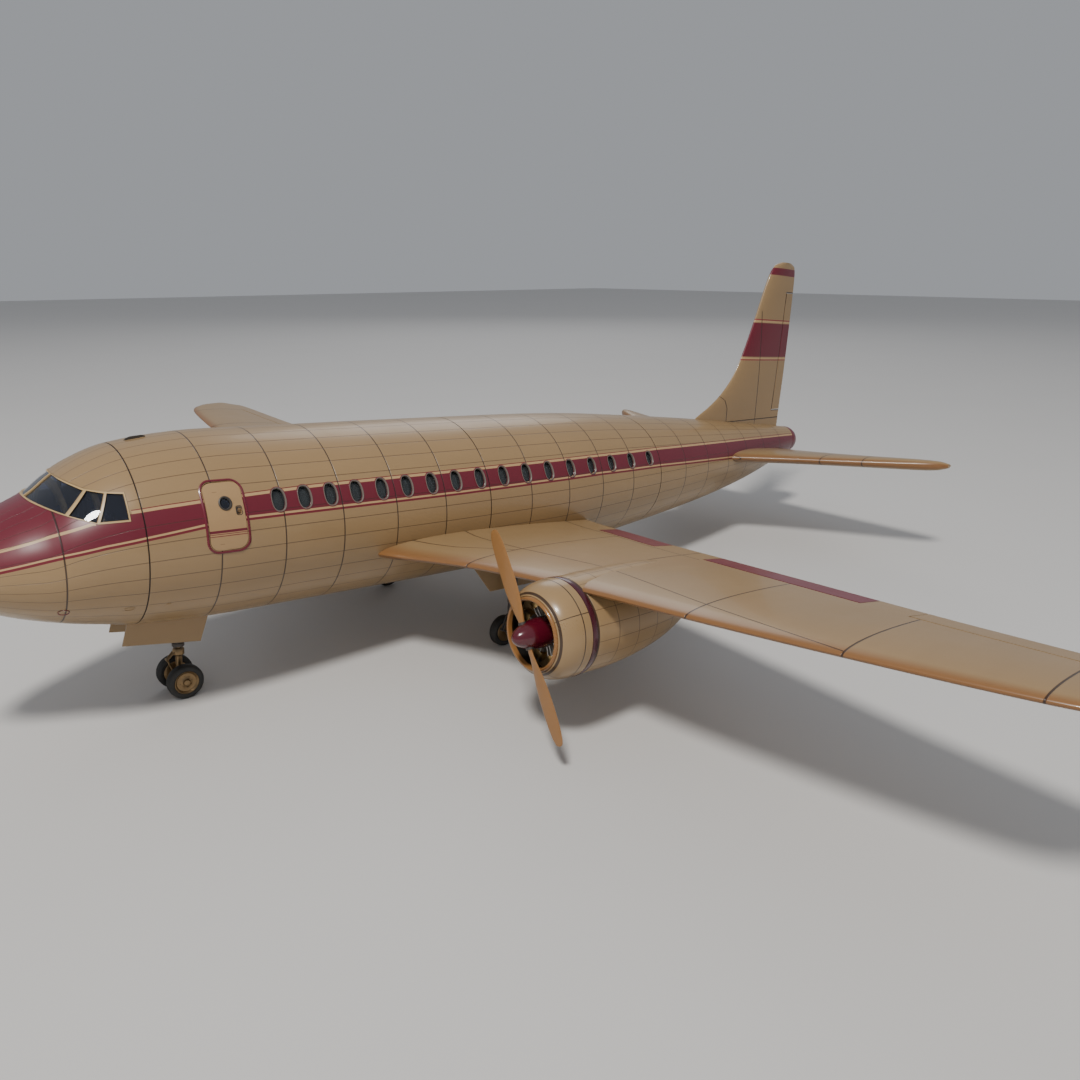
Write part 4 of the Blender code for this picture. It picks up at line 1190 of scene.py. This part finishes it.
def make_radial(side, centre):
    case = [
        (1.372, 0.05), (1.372, 0.095), (1.385, 0.108), (1.41, 0.120), (1.46, 0.128), (1.494, 0.128),
        (1.494, 0.05)
    ]
    gear = [
        (1.30, 0.03), (1.30, 0.060), (1.315, 0.068), (1.335, 0.070), (1.350, 0.085), (1.370, 0.088),
        (1.372, 0.03)
    ]
    silver = [turned(case, centre, "X", 48), turned(gear, centre, "X", 48)]
    gold = []
    rods = []
    middle = Vector(centre) + Vector((1.44, 0, 0))
    along = Vector((1, 0, 0))
    for k in range(9):
        angle = math.tau * (k + 0.25) / 9
        out = Vector((0, math.cos(angle), math.sin(angle)))
        across = Vector((0, -math.sin(angle), math.cos(angle)))
        rings = []
        for n in range(23):
            far = 0.115 + 0.105 * n / 22
            size = 0.052 if n % 2 else 0.042
            rings.append(
                [
                    tuple(middle + out * far + along * size * math.cos(a) + across * size * math.sin(a))
                    for a in circle(20)
                ]
            )
        silver.append(loft(rings))
        rings = []
        for far, wide, long in (
            (0.220, 0.044, 0.042), (0.224, 0.060, 0.056), (0.270, 0.064, 0.060), (0.305, 0.056, 0.052),
            (0.325, 0.040, 0.036)
        ):
            ring = []
            for a in circle(16):
                c = math.copysign(abs(math.cos(a)) ** 0.5, math.cos(a))
                s = math.copysign(abs(math.sin(a)) ** 0.5, math.sin(a))
                ring.append(tuple(middle + out * far + along * long * c + across * wide * s))
            rings.append(ring)
        gold.append(loft(rings))
        for shift in (-0.026, 0.026):
            foot = Vector(centre) + along * 1.392 + out * 0.105 + across * shift * 0.7
            head = Vector(centre) + along * 1.392 + out * 0.318 + across * shift
            rods.append(rod(foot, head, 0.0065, 10))
            rods.append(rod(head - along * 0.01 + out * 0.012, head + along * 0.03 + out * 0.012, 0.014, 12))
        for step in range(4):
            a = angle + math.tau * step / 36
            bolt = Vector(centre) + Vector((1.366, 0.078 * math.cos(a), 0.078 * math.sin(a)))
            rods.append(rod(bolt, bolt + along * 0.01, 0.005, 6))
    piece("engine_case_" + side, mesh_of(*merged(*silver)), "silver", stands_for="engine_" + side)
    piece("cylinder_heads_" + side, mesh_of(*merged(*gold)), "gold")
    piece("pushrods_" + side, mesh_of(*merged(*rods)), "silver")
    # The firewall's near-black is painted shade inside the nacelle.
    piece(
        "firewall_" + side,
        mesh_of(*turned([(1.498, 0.02), (1.498, 0.398), (1.53, 0.398), (1.53, 0.02)], centre, "X", 64)),
        "black"
    )


BLADE = (
    (0.03, 0.056, 0.056, -0.45),
    (0.10, 0.058, 0.056, -0.45),
    (0.15, 0.064, 0.052, -0.42),
    (0.25, 0.110, 0.036, -0.25),
    (0.45, 0.168, 0.025, -0.10),
    (0.70, 0.172, 0.017, -0.03),
    (0.87, 0.146, 0.012, -0.02),
    (0.95, 0.096, 0.009, -0.01),
    (PROP_RADIUS, 0.034, 0.006, -0.01),
)


def make_propeller(side, centre):
    body = f"propeller_{side}_body"
    shapes = []
    for angle in (PROP_ANGLE, PROP_ANGLE + math.pi):
        out = Vector((0, math.cos(angle), math.sin(angle)))
        flank = Vector((0, -math.sin(angle), math.cos(angle)))
        forward = Vector((-1, 0, 0))
        rings = []
        stations = spread(0.03, 0.92, 30) + [0.935, 0.948, 0.957, 0.963, 0.967, PROP_RADIUS]
        for far in stations:
            chord, thick, twist = smooth(BLADE, far)
            if far > 0.93:
                chord = 0.104 * math.sqrt(max(0.0, 1 - ((far - 0.93) / 0.0405) ** 2)) + 0.004
            across = flank * math.cos(twist) + forward * math.sin(twist)
            normal = out.cross(across)
            ring = []
            for a in circle(24):
                lens = math.sin(a) * (0.75 + 0.25 * math.cos(a))
                p = centre + out * far + across * chord / 2 * math.cos(a) + normal * thick / 2 * lens
                ring.append(tuple(p))
            rings.append(ring)
        shapes.append(loft(rings))
    hub = [
        (-0.055, 0.02), (-0.055, 0.045), (-0.045, 0.052), (0.045, 0.052), (0.055, 0.045), (0.055, 0.026),
        (0.20, 0.026)
    ]
    shapes.append(turned(hub, tuple(centre), "X", 32))
    piece("propeller_" + side, mesh_of(*merged(*shapes)), "blade", body, "propeller_" + side)

    outer = []
    for k in range(28):
        share = (0.012 + 0.988 * k / 27) ** 1.35
        outer.append((1.02 + 0.35 * share - PROP_X, 0.137 * (1 - (1 - share) ** 2) ** 0.5))
    inner = [(0.195, 0.130), (0.10, 0.118), (0.0, 0.105), (-0.07, 0.06), (-0.10, 0.01)]
    spinner = turned(outer + inner, tuple(centre), "X", 64)
    out = Vector((0, math.cos(PROP_ANGLE), math.sin(PROP_ANGLE)))
    mesh = carved(spinner, (rod(centre - out * 0.3, centre + out * 0.3, 0.038, 32),))
    piece("spinner_" + side, smoothed(mesh, 40), "spinner", body, "spinner_" + side)
    collars = []
    for s in (-1, 1):
        collars.append(rod(centre + out * 0.088 * s, centre + out * 0.122 * s, 0.036, 28))
    piece("blade_collars_" + side, mesh_of(*merged(*collars)), "dark", body)


def smoothed(mesh, angle):
    mesh.shade_smooth()
    mesh.set_sharp_from_angle(angle=math.radians(angle))
    return mesh


# ---------------------------------------------------------------- undercarriage


def axle(x):
    reach = 0.176 * math.cos(math.pi / 24)
    return -(1.689 - reach) / math.cos(PITCH) + math.tan(PITCH) * x


def make_wheel(label, x, y, body, outward, stands_for):
    """A tyre with rounded shoulders and grooves, on a dished hub. Outward is the side of the dish."""
    centre = (x, y, axle(x))
    half = 0.0525
    tread = [
        (-half + 0.004, 0.122), (-half, 0.135), (-half, 0.150), (-half + 0.005, 0.162),
        (-half + 0.014, 0.171)
    ]
    tread += [(-0.028, 0.1745), (-0.0225, 0.1752), (-0.021, 0.1725), (-0.018, 0.1725), (-0.0165, 0.1755)]
    tread += [(-0.0045, 0.1757), (-0.003, 0.1725), (0.003, 0.1725), (0.0045, 0.1757)]
    tread += [(0.0165, 0.1755), (0.018, 0.1725), (0.021, 0.1725), (0.0225, 0.1752), (0.028, 0.1745)]
    tread += [
        (half - 0.014, 0.171), (half - 0.005, 0.162), (half, 0.150), (half, 0.135), (half - 0.004, 0.122)
    ]
    tread += [(0.02, 0.104), (-0.02, 0.104)]
    tyre = turned(tread, centre, "Y", 72, True)
    piece(label + "_tyre", mesh_of(*tyre), "rubber", body, stands_for)
    rows = [(-half, 0.022), (-half, 0.112), (-half + 0.004, 0.118), (-half + 0.010, 0.114), (-0.02, 0.102)]
    rows += [
        (0.02, 0.102), (half - 0.008, 0.114), (half - 0.002, 0.118), (half + 0.001, 0.113),
        (half - 0.006, 0.104)
    ]
    rows += [(half - 0.018, 0.094), (half - 0.022, 0.072), (half - 0.018, 0.050), (half - 0.010, 0.036)]
    rows += [(half - 0.002, 0.033), (half + 0.004, 0.028), (half + 0.006, 0.018), (half + 0.006, 0.003)]
    rows = [(along * outward, radius) for along, radius in rows]
    parts = [turned(rows, centre, "Y", 56)]
    for a in circle(8, 0.2):
        spot = Vector(centre) + Vector((0.060 * math.cos(a), outward * (half - 0.024), 0.060 * math.sin(a)))
        parts.append(rod(spot, spot + Vector((0, outward * 0.010, 0)), 0.006, 6))
    return parts


def make_nose_gear():
    x = -0.720
    z = axle(x)
    hubs = []
    for side, sign in SIDES:
        hubs += make_wheel(f"nose_{side}", x, sign * 0.155, "nose_wheels", sign, "nose_tyre_" + side)
    hubs.append(rod((x, -0.12, z), (x, 0.12, z), 0.022, 24))
    piece("nose_wheel_hubs", mesh_of(*merged(*hubs)), "bronze", "nose_wheels", "nose_wheel_hubs")

    leg = [(-0.41, 0.034), (-0.41, 0.098), (-0.426, 0.098), (-0.456, 0.052), (-1.00, 0.052), (-1.005, 0.058)]
    leg += [
        (-1.03, 0.058), (-1.035, 0.052), (-1.20, 0.052), (-1.205, 0.060), (-1.238, 0.060), (-1.238, 0.034)
    ]
    lug = block((x + 0.045, x + 0.10), (-0.022, 0.022), (-1.16, -1.06), 0.006)
    parts = merged(
        turned(leg, (x, 0, 0), "Z", 48, True), lug,
        rod((x + 0.085, -0.034, -1.115), (x + 0.085, 0.034, -1.115), 0.012, 16)
    )
    piece("nose_gear_leg", mesh_of(*parts), "steel", stands_for="nose_gear_leg")
    brace = merged(
        rod((x + 0.125, 0, -1.12), (x + 0.30, 0, -0.43), 0.018, 20),
        rod((x + 0.17, 0, -0.94), (x + 0.24, 0, -0.66), 0.026, 20),
    )
    piece("nose_gear_brace", mesh_of(*brace), "steel", stands_for="nose_gear_brace")

    piston = [
        (-1.20, 0.006), (-1.20, 0.027), (-1.262, 0.027), (-1.262, 0.048), (-1.275, 0.056), (-1.325, 0.056)
    ]
    piston += [
        (-1.335, 0.048), (-1.345, 0.034), (z + 0.05, 0.034), (z + 0.04, 0.040), (z - 0.035, 0.040),
        (z - 0.05, 0.028)
    ]
    piston += [(z - 0.052, 0.006)]
    parts = [turned(piston, (x, 0, 0), "Z", 40)]
    for low, high, reach in ((-1.30, -1.37, 0.115), (z + 0.03, -1.37, 0.115)):
        for s in (-0.024, 0.024):
            parts.append(rod((x - 0.045, s, low), (x - reach, s * 0.6, high), 0.010, 12))
    parts.append(rod((x - 0.118, -0.026, -1.37), (x - 0.118, 0.026, -1.37), 0.012, 14))
    piece("nose_gear_fork", mesh_of(*merged(*parts)), "bronze", "nose_strut", "nose_gear_fork")

    for side, sign in SIDES:
        name = "nose_gear_door_" + side
        near = sign * 0.2045
        far = sign * 0.2195
        rings = []
        for share in spread(0.0, 1.0, 13):
            low_x = -1.29 + 0.72 * share
            low = -1.047 - 0.103 * share
            high_x = low_x + 0.055 + 0.03 * share
            high = -skin_z(high_x, 0.212) - 0.004
            rings.append(
                [
                    (low_x, near, low), (low_x, (near + far) / 2, low - 0.004), (low_x, far, low),
                    (high_x, far, high), (high_x, near, high)
                ]
            )
        piece(name, mesh_of(*loft(rings), sharp=25.0), "belly", stands_for=name)
    roof = block((-1.245, -0.505), (-0.196, 0.196), (-0.70, -0.66), 0.004)
    piece("nose_bay_roof", mesh_of(*roof), "lining")


def skin_z(x, y):
    middle, tall, half = profile_at(x)
    return -(middle - tall * math.sqrt(max(0.0, 1 - (y / half) ** 2)))


def make_main_gear():
    x = 2.457
    z = axle(x)
    for side, sign in SIDES:
        y = sign * 1.265
        body = f"main_{side}_wheel"
        parts = make_wheel(f"main_{side}", x, y, body, -sign, f"main_{side}_tyre")
        parts.append(rod((x, sign * 1.22, z), (x, sign * 1.445, z), 0.022, 24))
        name = f"main_{side}_wheel_hub"
        piece(name, mesh_of(*merged(*parts)), "bronze", body, name)

        y = sign * 1.400
        leg = [
            (-0.31, 0.01), (-0.31, 0.050), (-0.92, 0.050), (-0.925, 0.056), (-0.96, 0.056), (-0.965, 0.050)
        ]
        leg += [
            (-1.10, 0.050), (-1.105, 0.056), (-1.13, 0.056), (-1.135, 0.034), (z + 0.055, 0.034),
            (z + 0.045, 0.042)
        ]
        leg += [(z - 0.035, 0.042), (z - 0.05, 0.030), (z - 0.052, 0.006)]
        parts = [turned(leg, (x, y, 0), "Z", 48)]
        for low, high in ((-1.10, -1.27), (z + 0.03, -1.27)):
            for s in (-0.024, 0.024):
                parts.append(rod((x - 0.045, y + s, low), (x - 0.125, y + s * 0.6, high), 0.010, 12))
        parts.append(rod((x - 0.128, y - 0.026, -1.27), (x - 0.128, y + 0.026, -1.27), 0.012, 14))
        piece("main_gear_leg_" + side, mesh_of(*merged(*parts)), "steel", stands_for="main_gear_leg_" + side)

        rings = []
        for far, shrink in ((1.2805, 0.004), (1.284, 0.0), (1.291, 0.0), (1.2945, 0.004)):
            outline = (
                (1.87 + shrink, -0.374), (2.22 + shrink, -0.83 + shrink), (2.86 - shrink, -0.83 + shrink),
                (2.86 - shrink, -0.356)
            )
            rings.append([(a, sign * far, b) for a, b in outline])
        piece(
            "main_gear_door_" + side, mesh_of(*loft(rings), sharp=25.0), "belly",
            stands_for="main_gear_door_" + side
        )


def make_fittings():
    mast = prism(
        [(-1.10, 0.83), (-0.89, 0.84), (-0.90, 0.885), (-0.93, 0.893), (-1.03, 0.882), (-1.07, 0.868)],
        -0.011, 0.011
    )
    piece("roof_antenna", mesh_of(*mast), "dark", stands_for="roof_antenna")
    fin = prism(
        [(1.34, -0.90), (1.54, -0.90), (1.525, -0.955), (1.50, -0.968), (1.44, -0.968), (1.41, -0.95)],
        -0.011, 0.011
    )
    piece("belly_antenna", mesh_of(*fin), "dark", stands_for="belly_antenna")
    port = bead(
        oval(-1.83, -0.47, 0.075, 0.055, 32, 2.0), -1, ((-0.004, -0.002), (0.006, -0.002), (0.004, 0.006))
    )
    piece("static_port_ring", mesh_of(*port), "crimson")
    plates = []
    for x, z, wide, tall in (
        (-1.345, -0.50, 0.085, 0.040), (-1.03, -0.50, 0.040, 0.018), (3.10, -0.30, 0.060, 0.040)
    ):
        for side in (-1, 1):
            outline = oval(x, z, wide, tall, 32, 2.6)
            plates.append(
                bead(outline, side, ((-0.012, -0.001), (0.003, -0.002), (0.0, 0.004), (-0.010, 0.005)))
            )
    piece("inspection_plates", mesh_of(*merged(*plates)), "belly")


def make_stage():
    size = 6.0
    mesh = bpy.data.meshes.new("floor")
    mesh.from_pydata(
        [(-size, -size, 0), (size, -size, 0), (size, size, 0), (-size, size, 0)], [], [(0, 1, 2, 3)]
    )
    floor = bpy.data.objects.new("studio_floor", mesh)
    mesh.materials.append(floor_paint())
    bpy.context.scene.collection.objects.link(floor)

    def lamp(name, spot, size, power, colour=(1, 1, 1)):
        data = bpy.data.lights.new(name, "AREA")
        data.shape = "DISK"
        data.size = size
        data.energy = power
        data.color = colour
        item = bpy.data.objects.new(name, data)
        item.location = spot
        item.rotation_euler = (Vector((0.0, 0.0, 0.05)) - Vector(spot)).to_track_quat("-Z", "Y").to_euler()
        item.visible_glossy = name != "fill"
        bpy.context.scene.collection.objects.link(item)

    lamp("key", (-1.15, -0.80, 2.05), 0.40, 50.0, (1.0, 0.97, 0.92))
    lamp("fill", (-1.6, -2.2, 0.9), 1.8, 8.0, (0.94, 0.97, 1.0))
    lamp("rim", (1.6, 1.8, 1.6), 1.4, 8.0)

    world = bpy.data.worlds.new("studio")
    world.use_nodes = True
    world.node_tree.nodes["Background"].inputs[0].default_value = (0.80, 0.83, 0.88, 1.0)
    world.node_tree.nodes["Background"].inputs[1].default_value = 0.42
    bpy.context.scene.world = world

    data = bpy.data.cameras.new("camera")
    data.sensor_width = 36.0
    data.lens = 28.229
    data.clip_start = 0.01
    camera = bpy.data.objects.new("camera", data)
    heading = 0.716
    tilt = 0.312
    aim = Vector((math.sin(heading) * math.cos(tilt), math.cos(heading) * math.cos(tilt), -math.sin(tilt)))
    camera.location = (-0.33164, -0.41221, 0.20598)
    camera.rotation_euler = aim.to_track_quat("-Z", "Y").to_euler()
    bpy.context.scene.collection.objects.link(camera)
    bpy.context.scene.camera = camera


def dress_hidden_nodes():
    """CAD nodes that stay as they are get a finished material."""
    for name, paint in (("cabin_floor", "carpet"), ("nose_ballast", "steel"), ("wing_spar", "steel")):
        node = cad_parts[name]
        node.data.materials.clear()
        node.data.materials.append(PAINTS[paint])


make_stage()
make_fuselage()
make_windows()
make_door()
make_cockpit()
make_wings()
make_fin()
make_engines()
make_nose_gear()
make_main_gear()
make_fittings()
dress_hidden_nodes()
